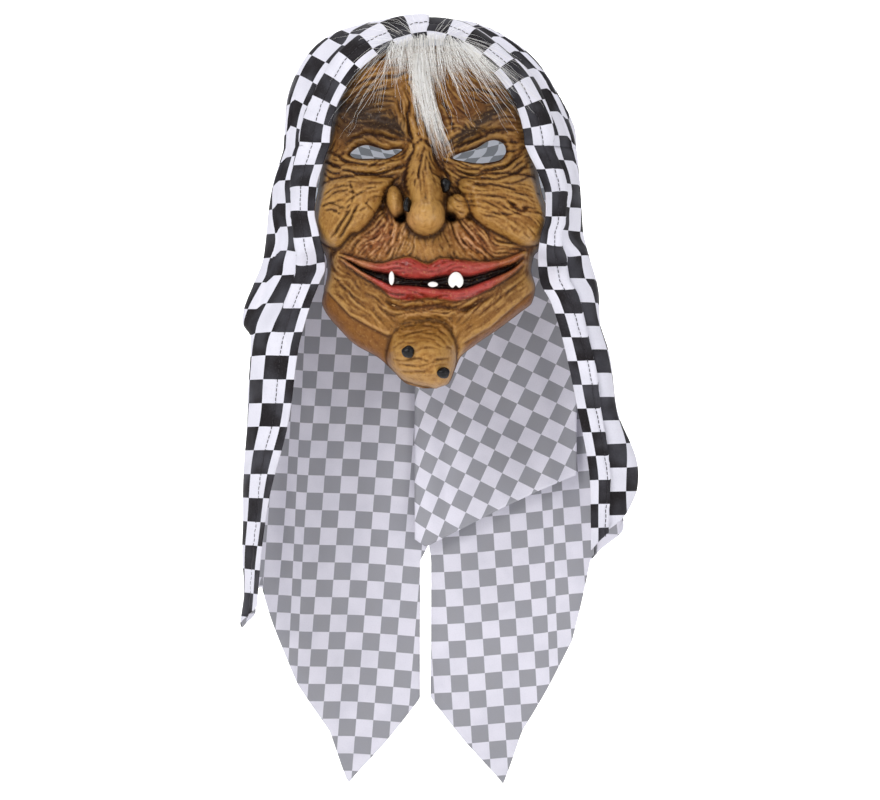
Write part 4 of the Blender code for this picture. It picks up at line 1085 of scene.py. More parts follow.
clothSettings = {
    "thickness": 0.0009,
    "gap": 0.0012,
    "halfWidth": 0.107,
    "halfDepth": 0.088,
    "rise": 0.098,
    "drapeDrop": 0.492,
    "napeDrop": 0.062,
    "foldDepth": 0.008,
    "domeRows": 78,
    "napeRows": 24,
    "hangRows": 122,
    "frontColumns": 80,
    "backColumns": 26,
    "hemWidth": 0.0138,
    "check": 0.0178,
    "firstCheck": 0.0068,
    "roll": 0.0065,
    "seed": 11,
}
outerTurn, cornerTurn, quarterTurn = 0.22, 0.50, 0.76

edgeRows = {  # down, the front edge as a share of the face's half width
    -1: ((0.000, 0.840), (0.0346, 0.908), (0.067, 0.955), (0.104, 0.965), (0.134, 0.930), (0.1715, 0.891),
         (0.187, 0.887), (0.211, 0.940), (0.242, 1.012), (0.285, 1.087), (0.305, 1.116), (0.418, 1.203),
         (0.539, 1.372), (0.630, 1.442), (0.720, 1.477), (1.000, 1.500)),
    1: ((0.000, 0.825), (0.0114, 0.851), (0.047, 0.950), (0.082, 1.005), (0.116, 1.000), (0.134, 0.965),
        (0.1565, 0.952), (0.181, 0.955), (0.207, 0.974), (0.238, 1.063), (0.285, 1.150), (0.387, 1.279),
        (0.524, 1.405), (0.623, 1.410), (1.000, 1.410)),
}
drapeRows = {  # down, edge depth, outer, outer depth, corner, corner depth
    -1: (
        (0.000, -0.62, 1.00, -0.42, 0.93, 0.42),
        (0.075, -0.60, 1.07, -0.40, 0.97, 0.42),
        (0.140, -0.60, 1.13, -0.40, 1.01, 0.42),
        (0.175, -0.68, 1.17, -0.40, 1.04, 0.42),
        (0.215, -0.70, 1.23, -0.38, 1.06, 0.42),
        (0.268, -0.68, 1.31, -0.32, 1.09, 0.42),
        (0.290, -0.67, 1.25, -0.34, 1.10, 0.42),
        (0.380, -0.68, 1.27, -0.36, 1.13, 0.42),
        (0.460, -0.70, 1.29, -0.36, 1.17, 0.42),
        (0.535, -0.73, 1.29, -0.36, 1.20, 0.42),
        (0.610, -0.76, 1.285, -0.36, 1.215, 0.42),
        (0.690, -0.76, 1.30, -0.36, 1.225, 0.42),
        (1.000, -0.70, 1.30, -0.36, 1.20, 0.42),
    ),
    1: (
        (0.000, -0.62, 1.00, -0.42, 0.93, 0.42),
        (0.050, -0.60, 1.035, -0.40, 0.96, 0.42),
        (0.110, -0.58, 1.09, -0.40, 0.99, 0.42),
        (0.165, -0.62, 1.15, -0.40, 1.02, 0.42),
        (0.215, -0.62, 1.20, -0.40, 1.05, 0.42),
        (0.280, -0.64, 1.25, -0.38, 1.08, 0.42),
        (0.380, -0.66, 1.34, -0.36, 1.11, 0.42),
        (0.460, -0.68, 1.42, -0.34, 1.14, 0.42),
        (0.520, -0.70, 1.49, -0.32, 1.17, 0.42),
        (0.620, -0.72, 1.50, -0.32, 1.19, 0.42),
        (1.000, -0.70, 1.50, -0.32, 1.17, 0.42),
    ),
}
backRows = ((0.00, 1.00), (0.08, 0.95), (0.14, 0.89), (0.25, 0.78), (0.40, 0.70), (0.60, 0.64), (1.00, 0.62))
hemRows = {  # share of the way to the centre back, share of the drop
    -1: ((0.00, 0.700), (0.11, 0.722), (0.22, 0.738), (0.36, 0.700), (0.50, 0.683), (0.56, 0.755),
         (0.635, 0.840), (0.735, 0.917), (0.79, 1.000), (0.895, 0.935), (1.00, 0.862)),
    1: ((0.00, 0.615), (0.11, 0.570), (0.22, 0.515), (0.36, 0.580), (0.50, 0.640), (0.57, 0.770),
        (0.645, 0.835), (0.745, 0.917), (0.80, 1.000), (0.90, 0.935), (1.00, 0.862)),
}
domeRows = (  # along, height, left squareness, right squareness
    (0.00, 0.780, 1.9, 1.75), (0.08, 0.895, 2.2, 1.95), (0.22, 0.990, 2.8, 2.0), (0.36, 1.000, 2.7, 2.0),
    (0.50, 0.930, 2.4, 2.0), (0.62, 0.770, 2.3, 2.0), (0.76, 0.550, 2.2, 2.0), (0.88, 0.330, 2.0, 2.0),
    (1.00, 0.200, 2.0, 2.0),
)
creaseRows = {  # along, width, start, end, depth
    -1: ((0.30, 0.050, 0.05, 1.00, 0.80), (0.42, 0.045, 0.10, 1.00, -0.60),
         (0.62, 0.055, 0.25, 1.00, 0.55), (0.80, 0.060, 0.20, 1.00, -0.50)),
    1: ((0.29, 0.050, 0.05, 1.00, 0.80), (0.41, 0.045, 0.10, 1.00, -0.60),
        (0.63, 0.055, 0.25, 1.00, 0.55), (0.81, 0.060, 0.20, 1.00, -0.50)),
}
innerHemRows = ((-0.10, 0.609), (-0.02, 0.621), (0.23, 0.594), (0.52, 0.562), (0.81, 0.531), (1.08, 0.506))
templeZ = -clothSettings["rise"]
napeZ = templeZ - clothSettings["napeDrop"]


def drapeZ(level):
    return templeZ - level * clothSettings["drapeDrop"]


def drapeLevel(z):
    return np.maximum(0.0, (templeZ - z) / clothSettings["drapeDrop"])


def drapeValue(side, place, level):
    return tableCurve(drapeRows[side], place, level)


def edgeX(side, z):
    return side * tableCurve(edgeRows[side], 1, drapeLevel(z)) * faceSettings["halfWidth"] * mm


def edgeLine(side):  # where the front edge lies below the temples, smoothed
    z = np.arange(templeZ, drapeZ(1.0), -0.001)
    x = edgeX(side, z)
    loose = drapeValue(side, 1, drapeLevel(z)) * clothSettings["halfDepth"]
    seat = np.minimum(loose, overFace(x, z) - clothSettings["gap"])
    kernel = np.exp(-0.5 * (np.arange(-12, 13) / 4.0) ** 2)
    kernel /= kernel.sum()
    return z, np.convolve(np.pad(seat, 12, mode="edge"), kernel, mode="valid")


edgeLines = {side: edgeLine(side) for side in (-1, 1)}


def edgeDepth(side, z):
    line, depth = edgeLines[side]
    return np.interp(-z, -line, depth)


def sectionAt(side, along, z):  # x and y of the cloth's section, with its direction
    level = drapeLevel(z)
    half, deep = clothSettings["halfWidth"], clothSettings["halfDepth"]
    corner, cornerDepth = side * drapeValue(side, 4, level) * half, drapeValue(side, 5, level) * deep
    backDepth = tableCurve(backRows, 1, level) * deep
    opened = np.clip((level - 0.620) / 0.025, 0, 1)
    knotX = np.array((edgeX(side, z), side * drapeValue(side, 2, level) * half, corner, corner * 0.55,
                      opened * (-0.0024 + side * 0.004)))
    knotY = np.array((edgeDepth(side, z), drapeValue(side, 3, level) * deep, cornerDepth,
                      cornerDepth + (backDepth - cornerDepth) * 0.86, backDepth))
    knots = np.array((0.0, outerTurn, cornerTurn, quarterTurn, 1.0))
    span = np.clip(np.searchsorted(knots, along, side="right") - 1, 0, 3)
    found = []
    for values, last in ((knotX, None), (knotY, 0.0)):
        slopes = np.zeros_like(values)
        slopes[1:-1] = (values[2:] - values[:-2]) / (knots[2:] - knots[:-2])[:, None, None]
        slopes[0] = (values[1] - values[0]) / (knots[1] - knots[0])
        slopes[-1] = slopes[-2] if last is None else last
        pick = lambda field, at: np.take_along_axis(field, at[None], 0)[0]
        step = knots[span + 1] - knots[span]
        share = (along - knots[span]) / step
        square, cube = share**2, share**3
        a, b, da, db = pick(values, span), pick(values, span + 1), pick(slopes, span), pick(slopes, span + 1)
        found.append((2 * cube - 3 * square + 1) * a + (cube - 2 * square + share) * step * da
                     + (3 * square - 2 * cube) * b + (cube - square) * step * db)
        found.append((6 * square - 6 * share) * (a - b) / step + (3 * square - 4 * share + 1) * da
                     + (3 * square - 2 * share) * db)
    x, paceX, y, paceY = found
    length = np.hypot(paceX, paceY)
    return x, y, paceX / length, paceY / length


def foldIn(side, along, level):
    total = np.zeros(np.broadcast(along, level).shape)
    for place, width, start, end, depth in creaseRows[side]:
        ramp = np.clip((level - start) / 0.12, 0, 1) * np.clip((end - level) / 0.12 + 1, 0, 1)
        total += depth * ramp * np.exp(-(((along - place) / width) ** 2))
    return total * clothSettings["foldDepth"]


def drapePoints(side, along, z, inset=0.0):
    along, z = np.broadcast_arrays(np.asarray(along, float), np.asarray(z, float))
    x, y, paceX, paceY = sectionAt(side, along, z)
    move = inset + foldIn(side, along, drapeLevel(z))
    movedX = np.where(along >= 1.0, x, x - paceY * side * move)
    return np.stack((movedX, y + paceX * side * move, z), -1)


def domeLine(side, turn):  # the front edge over the forehead: x, z and the y that seats it
    power = 2.0 / tableCurve(domeRows, 2 if side < 0 else 3, 0.0)
    top = tableCurve(domeRows, 1, 0.0) * clothSettings["rise"]
    x = edgeX(side, templeZ) * np.sin(turn * math.pi / 2) ** power
    z = templeZ + top * np.clip(np.cos(turn * math.pi / 2), 0, 1) ** power
    loose = drapeValue(side, 1, 0.0) * clothSettings["halfDepth"]
    return x, z, np.minimum(loose, overFace(x, z) - clothSettings["gap"])


def domePoints(side, along, turn):
    along, turn = np.broadcast_arrays(np.asarray(along, float), np.asarray(turn, float))
    rim = {s: drapePoints(s, along, np.full(along.shape, templeZ)) for s in (-1, 1)}
    power = 2.0 / tableCurve(domeRows, 2 if side < 0 else 3, along)
    top = tableCurve(domeRows, 1, along) * clothSettings["rise"]
    sine, cosine = np.sin(turn * math.pi / 2), np.clip(np.cos(turn * math.pi / 2), 0, 1)
    y = np.zeros(along.shape)
    own = 0.5 + 0.5 * sine**0.8
    for s, share in ((side, own), (-side, 1 - own)):
        line = domeLine(s, turn)[2]
        front = np.clip(1 - along / outerTurn, 0, 1) ** 1.3
        y += share * (rim[s][..., 1] + (line - edgeDepth(s, np.array(templeZ))) * front)
    return np.stack((rim[side][..., 0] * sine**power, y, templeZ + top * cosine**power), -1)


clothRandom = np.random.default_rng(clothSettings["seed"])


def softNoise(across, down, size, count=60):  # gentle waves in two directions, made of sines
    total = np.zeros(np.broadcast(across, down).shape)
    for _ in range(count):
        angle, phase = clothRandom.uniform(0, 2 * math.pi, 2)
        pitch = size * clothRandom.uniform(0.6, 1.7)
        total += np.sin((across * math.cos(angle) + down * math.sin(angle)) * 2 * math.pi / pitch + phase)
    return total / math.sqrt(count / 2)


# Pleats: at each row (0 at the crown, 1 at the temple, 2 at the drape's end) where the pleat runs, in metres
# from the front hem, with its lift, the cloth that it hides, how far the cloth beyond it slips and its ends
pleats = {
    -1: (
        {"path": ((0.3, 0.024), (1.0, 0.027), (1.3, 0.020)),
         "lift": -0.0050, "hidden": 0.007, "slip": 0.008, "ends": (0.30, 1.30)},
        {"path": ((0.7, 0.050), (1.0, 0.048), (1.35, 0.042)),
         "lift": 0.0030, "hidden": 0.005, "slip": -0.005, "ends": (0.72, 1.32)},
    ),
    1: (
        {"path": ((0.2, 0.030), (0.7, 0.033), (1.0, 0.024), (1.4, 0.018), (1.8, 0.016)),
         "lift": -0.0052, "hidden": 0.008, "slip": 0.009, "ends": (0.12, 1.72)},
        {"path": ((0.1, 0.044), (0.5, 0.050), (1.0, 0.048)),
         "lift": 0.0034, "hidden": 0.007, "slip": -0.006, "ends": (0.10, 1.10)},
        {"path": ((0.1, 0.062), (0.5, 0.066), (1.0, 0.070)),
         "lift": 0.0028, "hidden": 0.006, "slip": 0.005, "ends": (0.16, 1.00)},
    ),
}


def gridNormals(points):
    down = np.gradient(points, axis=0)
    across = np.gradient(points, axis=1)
    normal = np.cross(down, across)
    return normal / np.maximum(np.linalg.norm(normal, axis=-1, keepdims=True), 1e-9)


def hoodSide(side):
    columns = np.concatenate((
        cornerTurn * np.linspace(0, 1, clothSettings["frontColumns"] + 1) ** 1.35,
        np.linspace(cornerTurn, 1, clothSettings["backColumns"] + 1)[1:],
    ))
    along = columns[None, :]
    share = np.linspace(0, 1, clothSettings["domeRows"] + 1)
    turn = ((1 - np.cos(np.pi * share)) / 2)[:, None]
    crown = domePoints(side, along, turn)
    napeRows = clothSettings["napeRows"]
    napeHeights = templeZ - np.linspace(0, clothSettings["napeDrop"], napeRows + 1)[1:, None]
    nape = drapePoints(side, along, napeHeights)
    hem = drapeZ(np.interp(columns, *zip(*hemRows[side])))[None, :]
    hang = np.linspace(0, 1, clothSettings["hangRows"] + 1)[1:, None]
    hangHeights = napeZ + hang * (hem - napeZ)
    lower = drapePoints(side, along, hangHeights)
    points = np.concatenate((crown, nape, lower))
    rowAt = np.concatenate((
        np.broadcast_to(turn, crown.shape[:2]),
        1 + drapeLevel(np.concatenate((np.broadcast_to(napeHeights, nape.shape[:2]), hangHeights))),
    ))
    gaps = np.diff(points, axis=1)
    gaps[len(crown):, :, 2] = 0
    v = np.concatenate((np.zeros((len(points), 1)), np.cumsum(np.linalg.norm(gaps, axis=-1), axis=1)), 1)
    guide = int(np.argmin(np.abs(columns - 0.10)))
    run = np.concatenate(([0], np.cumsum(np.linalg.norm(np.diff(crown[:, guide], axis=0), axis=-1))))
    below = run[-1] + templeZ - points[len(crown):, :, 2]
    u = np.concatenate((np.broadcast_to(run[:, None], crown.shape[:2]), below))
    return {"columns": columns, "points": points, "rowAt": rowAt, "u": u * side, "v": v,
            "closed": len(crown) + napeRows - 1, "crown": len(crown)}


def shapeCloth(sheet, side):  # roll at the front, pleats, hem and soft waves, moved along the cloth's normal
    points, rowAt, u, v = sheet["points"], sheet["rowAt"], sheet["u"], sheet["v"]
    normal = gridNormals(points)
    middle = np.array((0.0, 0.0, -0.12))
    outward = points - middle
    outward[sheet["crown"]:, :, 2] = 0
    normal *= np.where((normal * outward).sum(-1, keepdims=True).mean() < 0, -1, 1)
    middling = np.exp(-((points[..., 0] / 0.010) ** 2)) * (rowAt < 1)
    normal[..., 0] *= 1 - middling
    normal /= np.maximum(np.linalg.norm(normal, axis=-1, keepdims=True), 1e-9)
    move = clothSettings["roll"] * np.exp(-(((v - 0.020) / 0.013) ** 2)) * (1 - 0.5 * smoothStep(1.25, 1.6, rowAt))
    hidden, slipped = np.zeros_like(v), np.zeros_like(v)
    for pleat in pleats[side]:
        line = np.interp(rowAt, *zip(*pleat["path"]))
        start, end = pleat["ends"]
        ends = smoothStep(start, start + 0.12, rowAt) * smoothStep(end, end - 0.12, rowAt)
        away = v - line
        move += pleat["lift"] * ends * smoothStep(-0.0012, 0.0012, away) * np.exp(-np.maximum(away, 0) / 0.012)
        past = ends * smoothStep(-0.0010, 0.0010, away)
        hidden += pleat["hidden"] * past
        slipped += pleat["slip"] * past * side
    hemWidth = clothSettings["hemWidth"]
    pucker = np.sin(u * 2 * math.pi / 0.011 + 2.0 * softNoise(u, v, 0.05))
    move += 0.0005 * smoothStep(hemWidth, hemWidth - 0.001, v)
    move += np.exp(-(((v - hemWidth) / 0.004) ** 2)) * 0.00035 * pucker
    move -= 0.0006 * np.exp(-(((v - hemWidth) / 0.0011) ** 2))
    calm = smoothStep(0.0, 0.012, v)
    move += calm * (0.0011 * softNoise(u, v, 0.085) + 0.0006 * softNoise(u * 0.6, v, 0.035))
    points = points + normal * move[..., None]
    near = v < 0.06
    over = overFace(points[..., 0], points[..., 2]) - clothSettings["gap"]
    points[..., 1] = np.where(near, np.minimum(points[..., 1], over), points[..., 1])
    sheet["points"], sheet["normal"] = points, normal
    scale = checkSettings["size"] / clothSettings["check"]
    across = v + hidden + clothSettings["check"] - clothSettings["firstCheck"]
    sheet["uv"] = np.stack((u + slipped, across), -1) * scale
    return sheet


def shellFromGrid(name, points, uv, used, thickness, materials, flip=False):
    rows, columns = points.shape[:2]
    normal = gridNormals(points)
    if flip:
        normal = -normal
    outer = points + normal * thickness
    number = np.arange(rows * columns).reshape(rows, columns)
    cells = np.stack((number[:-1, :-1], number[1:, :-1], number[1:, 1:], number[:-1, 1:]), -1)[used]
    if flip:
        cells = cells[:, ::-1]
    edges = {}
    for cell in cells.tolist():
        for near, far in zip(cell, cell[1:] + cell[:1]):
            if (far, near) in edges:
                del edges[(far, near)]
            else:
                edges[(near, far)] = True
    count = rows * columns
    rim = [(far, near, near + count, far + count) for near, far in edges]
    faces = cells.tolist() + (cells[:, ::-1] + count).tolist() + rim
    both = np.concatenate((outer.reshape(-1, 3), points.reshape(-1, 3)))
    keep = np.zeros(len(both), bool)
    keep[np.unique(cells)] = True
    keep[np.unique(cells) + count] = True
    fresh = np.cumsum(keep) - 1
    piece = solidMesh(name, both[keep], [[fresh[corner] for corner in face] for face in faces], materials)
    mesh = piece.data
    flat = np.concatenate((uv.reshape(-1, 2), uv.reshape(-1, 2)))[keep]
    corners = np.zeros(len(mesh.loops), int)
    mesh.loops.foreach_get("vertex_index", corners)
    layer = mesh.uv_layers.new(name="cloth")
    layer.data.foreach_set("uv", flat[corners].ravel())
    index = np.concatenate((np.zeros(len(cells), int), np.ones(len(cells), int), np.zeros(len(rim), int)))
    mesh.polygons.foreach_set("material_index", index.astype(np.int32))
    return piece


hoodSides = {side: shapeCloth(hoodSide(side), side) for side in (-1, 1)}


def buildHood():
    left, right = hoodSides[-1], hoodSides[1]
    crownLine = (left["points"][0] + right["points"][0]) / 2
    left["points"][0] = right["points"][0] = crownLine
    points = np.concatenate((left["points"][::-1], right["points"][1:]))
    uv = np.concatenate((left["uv"][::-1], right["uv"][1:]))
    split = clothSettings["frontColumns"]
    rows = len(points) - 1
    middle = len(left["points"]) - 1
    fromTop = np.abs(np.arange(rows) + 0.5 - middle) - 0.5
    used = (fromTop[:, None] < left["closed"]) | (np.arange(points.shape[1] - 1)[None, :] < split)
    piece = shellFromGrid("hoodCloth", points, uv, used, clothSettings["thickness"], [clothFace, clothReverse])
    piece.data.materials.append(clothLining)
    for face in piece.data.polygons:  # the drapes keep the plain reverse, the closed part has the lining
        if face.material_index == 1 and face.center.z > napeZ:
            face.material_index = 2
    return faceOutward(piece)


hoodCloth = buildHood()
print("hood built", len(hoodCloth.data.vertices), "points")


panelSettings = {
    "columns": 70,
    "rows": 150,
    "inset": 0.0016,
    "topLap": 0.006,
    "sideLap": 0.018,  # a share of the section
    "slit": 0.0004,
    "check": 0.0136,
    "tilt": {-1: 4.6, 1: -3.5},
    "tuck": {-1: (0.098, 0.116, 0.011), 1: (0.092, 0.108, 0.010)},  # from, to, how much cloth is drawn in
}


def panelWaves(along, z):
    level = drapeLevel(z)
    return 0.0022 * smoothStep(0.1, 0.5, level) * softNoise(along * 0.16, z * 0.25, 0.040)


def panelGrid(side):
    lap = panelSettings["topLap"]
    along = np.linspace(cornerTurn - panelSettings["sideLap"], 1.0, panelSettings["columns"] + 1)[None, :]
    hem = drapeZ(np.interp(along[0], *zip(*hemRows[side])))[None, :]
    z = napeZ + lap + np.linspace(0, 1, panelSettings["rows"] + 1)[:, None] * (hem - napeZ - lap)
    points = drapePoints(side, np.broadcast_to(along, z.shape), z, panelSettings["inset"])
    points[:, -1, 0] += side * panelSettings["slit"]
    return z, points


def buildBackPanel(side):
    z, points = panelGrid(side)
    gaps = np.diff(points, axis=1)
    gaps[..., 2] = 0
    run = np.concatenate((np.zeros((len(points), 1)), np.cumsum(np.linalg.norm(gaps, axis=-1), axis=1)), 1)
    fromMiddle = side * (run[:, -1:] - run) + points[:, -1:, 0]
    loose = smoothStep(0.012, 0.060, run)
    wave = panelWaves(fromMiddle, z) * loose * smoothStep(0.0, 0.010, np.abs(fromMiddle))
    near, far, cloth = panelSettings["tuck"][side]
    tuck = np.exp(-((((np.abs(fromMiddle) - near) / (far - near)) - 0.5) ** 2) * 5)
    points[..., 1] += wave - 0.001 - 0.004 * loose + 0.003 * tuck * loose
    drawn = fromMiddle + side * cloth * smoothStep(near, far, np.abs(fromMiddle))
    tilt = math.radians(panelSettings["tilt"][side])
    across = drawn * math.cos(tilt) - z * math.sin(tilt)
    down = drawn * math.sin(tilt) + z * math.cos(tilt)
    down = down + 0.0022 * np.sin(fromMiddle / 0.040 + side)
    uv = np.stack((across, down), -1) * checkSettings["size"] / panelSettings["check"]
    used = np.ones((points.shape[0] - 1, points.shape[1] - 1), bool)
    name = "backPanelLeft" if side < 0 else "backPanelRight"
    return faceOutward(
        shellFromGrid(name, points, uv, used, clothSettings["thickness"], [clothFace, clothReverse], flip=side < 0)
    )


backPanels = {side: buildBackPanel(side) for side in (-1, 1)}
print("back panels built")


def backFront(x, z):  # y of the back panels' inner face at a height
    found = []
    for side in (-1, 1):
        along = np.linspace(cornerTurn, 1.0, 80)[None, :]
        section = drapePoints(side, along, np.full(along.shape, z), 0.0030)[0]
        order = np.argsort(section[:, 0])
        found.append(section[order][:, :2])
    line = np.concatenate(found)
    line = line[np.argsort(line[:, 0])]
    return np.interp(x, line[:, 0], line[:, 1])


innerSettings = {
    "columns": 65,
    "rows": 91,
    "top": 0.150,
    "forward": 0.0102,
    "reach": 0.004,
    "turn": -26,
}


def buildInnerPanel():
    half, reach = clothSettings["halfWidth"], innerSettings["reach"]
    across = np.linspace(innerHemRows[0][0], innerHemRows[-1][0], innerSettings["columns"]) * half
    hem = drapeZ(np.interp(across, [row[0] * half for row in innerHemRows], [row[1] for row in innerHemRows]))
    top = drapeZ(innerSettings["top"])
    points = []
    for share in np.linspace(0, 1, innerSettings["rows"]):
        heights = top + share * (hem - top)
        depth = np.array([min(backFront(np.array([x - reach, x, x + reach]), z)) for x, z in zip(across, heights)])
        points.append(np.stack((across, depth - innerSettings["forward"], heights), -1))
    points = np.array(points)
    x, z = points[..., 0], points[..., 2]
    points[..., 1] += 0.0016 * softNoise(x, z * 0.5, 0.05) - 0.001
    ridge, dip = np.exp(-(((x + 0.001) / 0.010) ** 2)), np.exp(-(((x - 0.014) / 0.006) ** 2))
    points[..., 1] -= 0.0035 * ridge - 0.002 * dip  # the turned edge beside the slit
    warped = x - 0.010 * np.exp(-(x + 0.0107) / 0.018)
    turn = math.radians(innerSettings["turn"])
    uv = np.stack((warped * math.cos(turn) + z * math.sin(turn), z * math.cos(turn) - warped * math.sin(turn)), -1)
    uv *= checkSettings["size"] / panelSettings["check"]
    used = np.ones((points.shape[0] - 1, points.shape[1] - 1), bool)
    both = [clothInner, clothInner]
    return faceOutward(shellFromGrid("innerPanel", points, uv, used, clothSettings["thickness"], both))


innerPanel = buildInnerPanel()
print("inner panel built")


# Geometry Nodes: one tree for the stitches and one for the hair

class NodeTree:
    def __init__(self, name, sockets):
        self.tree = bpy.data.node_groups.new(name, "GeometryNodeTree")
        self.tree.interface.new_socket("Geometry", in_out="INPUT", socket_type="NodeSocketGeometry")
        for label, kind in sockets:
            self.tree.interface.new_socket(label, in_out="INPUT", socket_type=kind)
        self.tree.interface.new_socket("Geometry", in_out="OUTPUT", socket_type="NodeSocketGeometry")
        self.source = self.tree.nodes.new("NodeGroupInput")
        self.target = self.tree.nodes.new("NodeGroupOutput")

    def given(self, name):
        return self.source.outputs[name]

    def add(self, kind, settings=None, sockets=None, output=0):
        node = self.tree.nodes.new(kind)
        for name, value in (settings or {}).items():
            setattr(node, name, value)
        for place, value in (sockets or {}).items():
            socket = node.inputs[place]
            if isinstance(value, bpy.types.NodeSocket):
                self.tree.links.new(value, socket)
            else:
                socket.default_value = value
        return node.outputs[output]

    def finish(self, geometry, material):
        real = self.add("GeometryNodeRealizeInstances", None, {0: geometry})
        done = self.add("GeometryNodeSetMaterial", None, {"Geometry": real, "Material": material})
        self.tree.links.new(done, self.target.inputs[0])
        return self.tree


def grown(piece, tree, values):  # runs a tree on a piece and keeps the plain mesh
    modifier = piece.modifiers.new(tree.name, "NODES")
    modifier.node_group = tree
    for item in tree.interface.items_tree:
        if item.item_type == "SOCKET" and item.in_out == "INPUT" and item.name in values:
            modifier[item.identifier] = values[item.name]
    bpy.context.view_layer.update()
    made = bpy.data.meshes.new_from_object(piece.evaluated_get(bpy.context.evaluated_depsgraph_get()))
    result = bpy.data.objects.new(piece.name.replace("Path", ""), made)
    bpy.context.scene.collection.objects.link(result)
    bpy.data.objects.remove(piece)
    return result


def lineObject(name, lines):
    curve = bpy.data.curves.new(name, "CURVE")
    curve.dimensions = "3D"
    for line in lines:
        spline = curve.splines.new("POLY")
        spline.points.add(len(line) - 1)
        spline.points.foreach_set("co", np.concatenate((line, np.ones((len(line), 1))), 1).ravel())
    piece = bpy.data.objects.new(name, curve)
    bpy.context.scene.collection.objects.link(piece)
    return piece


stitchSettings = {"Pitch": 0.0036, "Length": 0.0024, "Thickness": 0.00032}


def stitchTree():
    tree = NodeTree("stitchRow", [(label, "NodeSocketFloat") for label in stitchSettings])
    points = tree.tree.nodes.new("GeometryNodeCurveToPoints")
    points.mode = "LENGTH"
    tree.tree.links.new(tree.given("Geometry"), points.inputs["Curve"])
    tree.tree.links.new(tree.given("Pitch"), points.inputs["Length"])
    stitch = tree.add(
        "GeometryNodeMeshCylinder", None,
        {"Vertices": 6, "Side Segments": 1, "Radius": tree.given("Thickness"), "Depth": tree.given("Length")},
    )
    placed = tree.add(
        "GeometryNodeInstanceOnPoints", None,
        {"Points": points.outputs["Points"], "Instance": stitch, "Rotation": points.outputs["Rotation"]},
    )
    return tree.finish(placed, threadFinish)


def stitchLine(side):  # a line on the hood, at the hem's width from its front edge
    sheet = hoodSides[side]
    line = []
    lift = clothSettings["thickness"] + 0.0002
    normal = gridNormals(sheet["points"])
    for number in range(len(sheet["points"])):
        column = np.interp(clothSettings["hemWidth"], sheet["v"][number], np.arange(len(sheet["columns"])))
        left = int(column)
        share = column - left
        place = sheet["points"][number, left] * (1 - share) + sheet["points"][number, left + 1] * share
        out = normal[number, left] * (1 - share) + normal[number, left + 1] * share
        out = out * np.sign(out @ sheet["normal"][number, left] + 1e-9)
        line.append(place + out * lift)
    return np.array(line)


def buildStitches():
    lines = [stitchLine(side) for side in (-1, 1)]
    return grown(lineObject("hemStitchesPath", lines), stitchTree(), stitchSettings)


hemStitches = buildStitches()
print("stitches sewn", len(hemStitches.data.vertices), "points")

hairSettings = {"Strands": 40, "Spread": 0.0044, "Thickness": 0.00011, "Seed": 3}
wispSettings = {"Strands": 9, "Spread": 0.0085, "Thickness": 0.00008, "Seed": 5}
hairLocks = (  # root x, z; bend x, z; tip x, z; lift at the bend, all in millimetres
    (-25, -24, -27, -34, -24, -44, 6), (-20, -23, -22, -33, -20, -46, 7),
    (-15, -21, -16, -34, -16, -52, 8), (-10, -20, -11, -34, -11, -54, 8), (-5, -19, -6, -36, -4, -60, 9),
    (0, -19, -1, -38, 2, -64, 9), (5, -19, 5, -36, 8, -58, 9), (10, -19, 11, -34, 15, -52, 9),
    (15, -20, 17, -34, 22, -50, 8), (20, -22, 26, -33, 34, -45, 7), (25, -24, 34, -34, 45, -46, 6),
    (-9, -34, -10, -60, -3, -82, 7), (-8, -34, -8, -60, 1, -90, 7), (-6, -34, -6, -62, 6, -97, 7),
    (-4, -34, -5, -61, 11, -103, 7), (-2, -34, -3, -62, 14, -107, 7), (30, -28, 40, -42, 52, -54, 5),
)
hairWisps = (
    (-28, -30, -34, -44, -33, -66, 6), (-24, -30, -30, -50, -31, -74, 7), (-30, -26, -48, -44, -66, -64, 9),
    (-26, -30, -46, -58, -64, -86, 9), (-34, -24, -50, -22, -62, -30, 8), (-20, -20, -36, -12, -50, -16, 9),
    (-8, -18, -14, -8, -24, -6, 9), (6, -18, 12, -8, 20, -8, 9), (18, -20, 32, -12, 44, -20, 9),
    (10, -28, 24, -48, 40, -64, 8), (16, -28, 32, -48, 52, -62, 8), (20, -26, 42, -46, 60, -62, 8),
    (26, -26, 48, -46, 66, -66, 7), (28, -28, 54, -52, 72, -74, 7), (12, -30, 28, -54, 36, -74, 8),
    (6, -30, 16, -58, 24, -80, 8), (32, -28, 56, -44, 78, -60, 7), (34, -30, 60, -50, 80, -76, 6),
    (0, -30, 10, -56, 16, -78, 8), (24, -22, 46, -30, 64, -44, 8), (28, -26, 44, -56, 62, -80, 6),
)


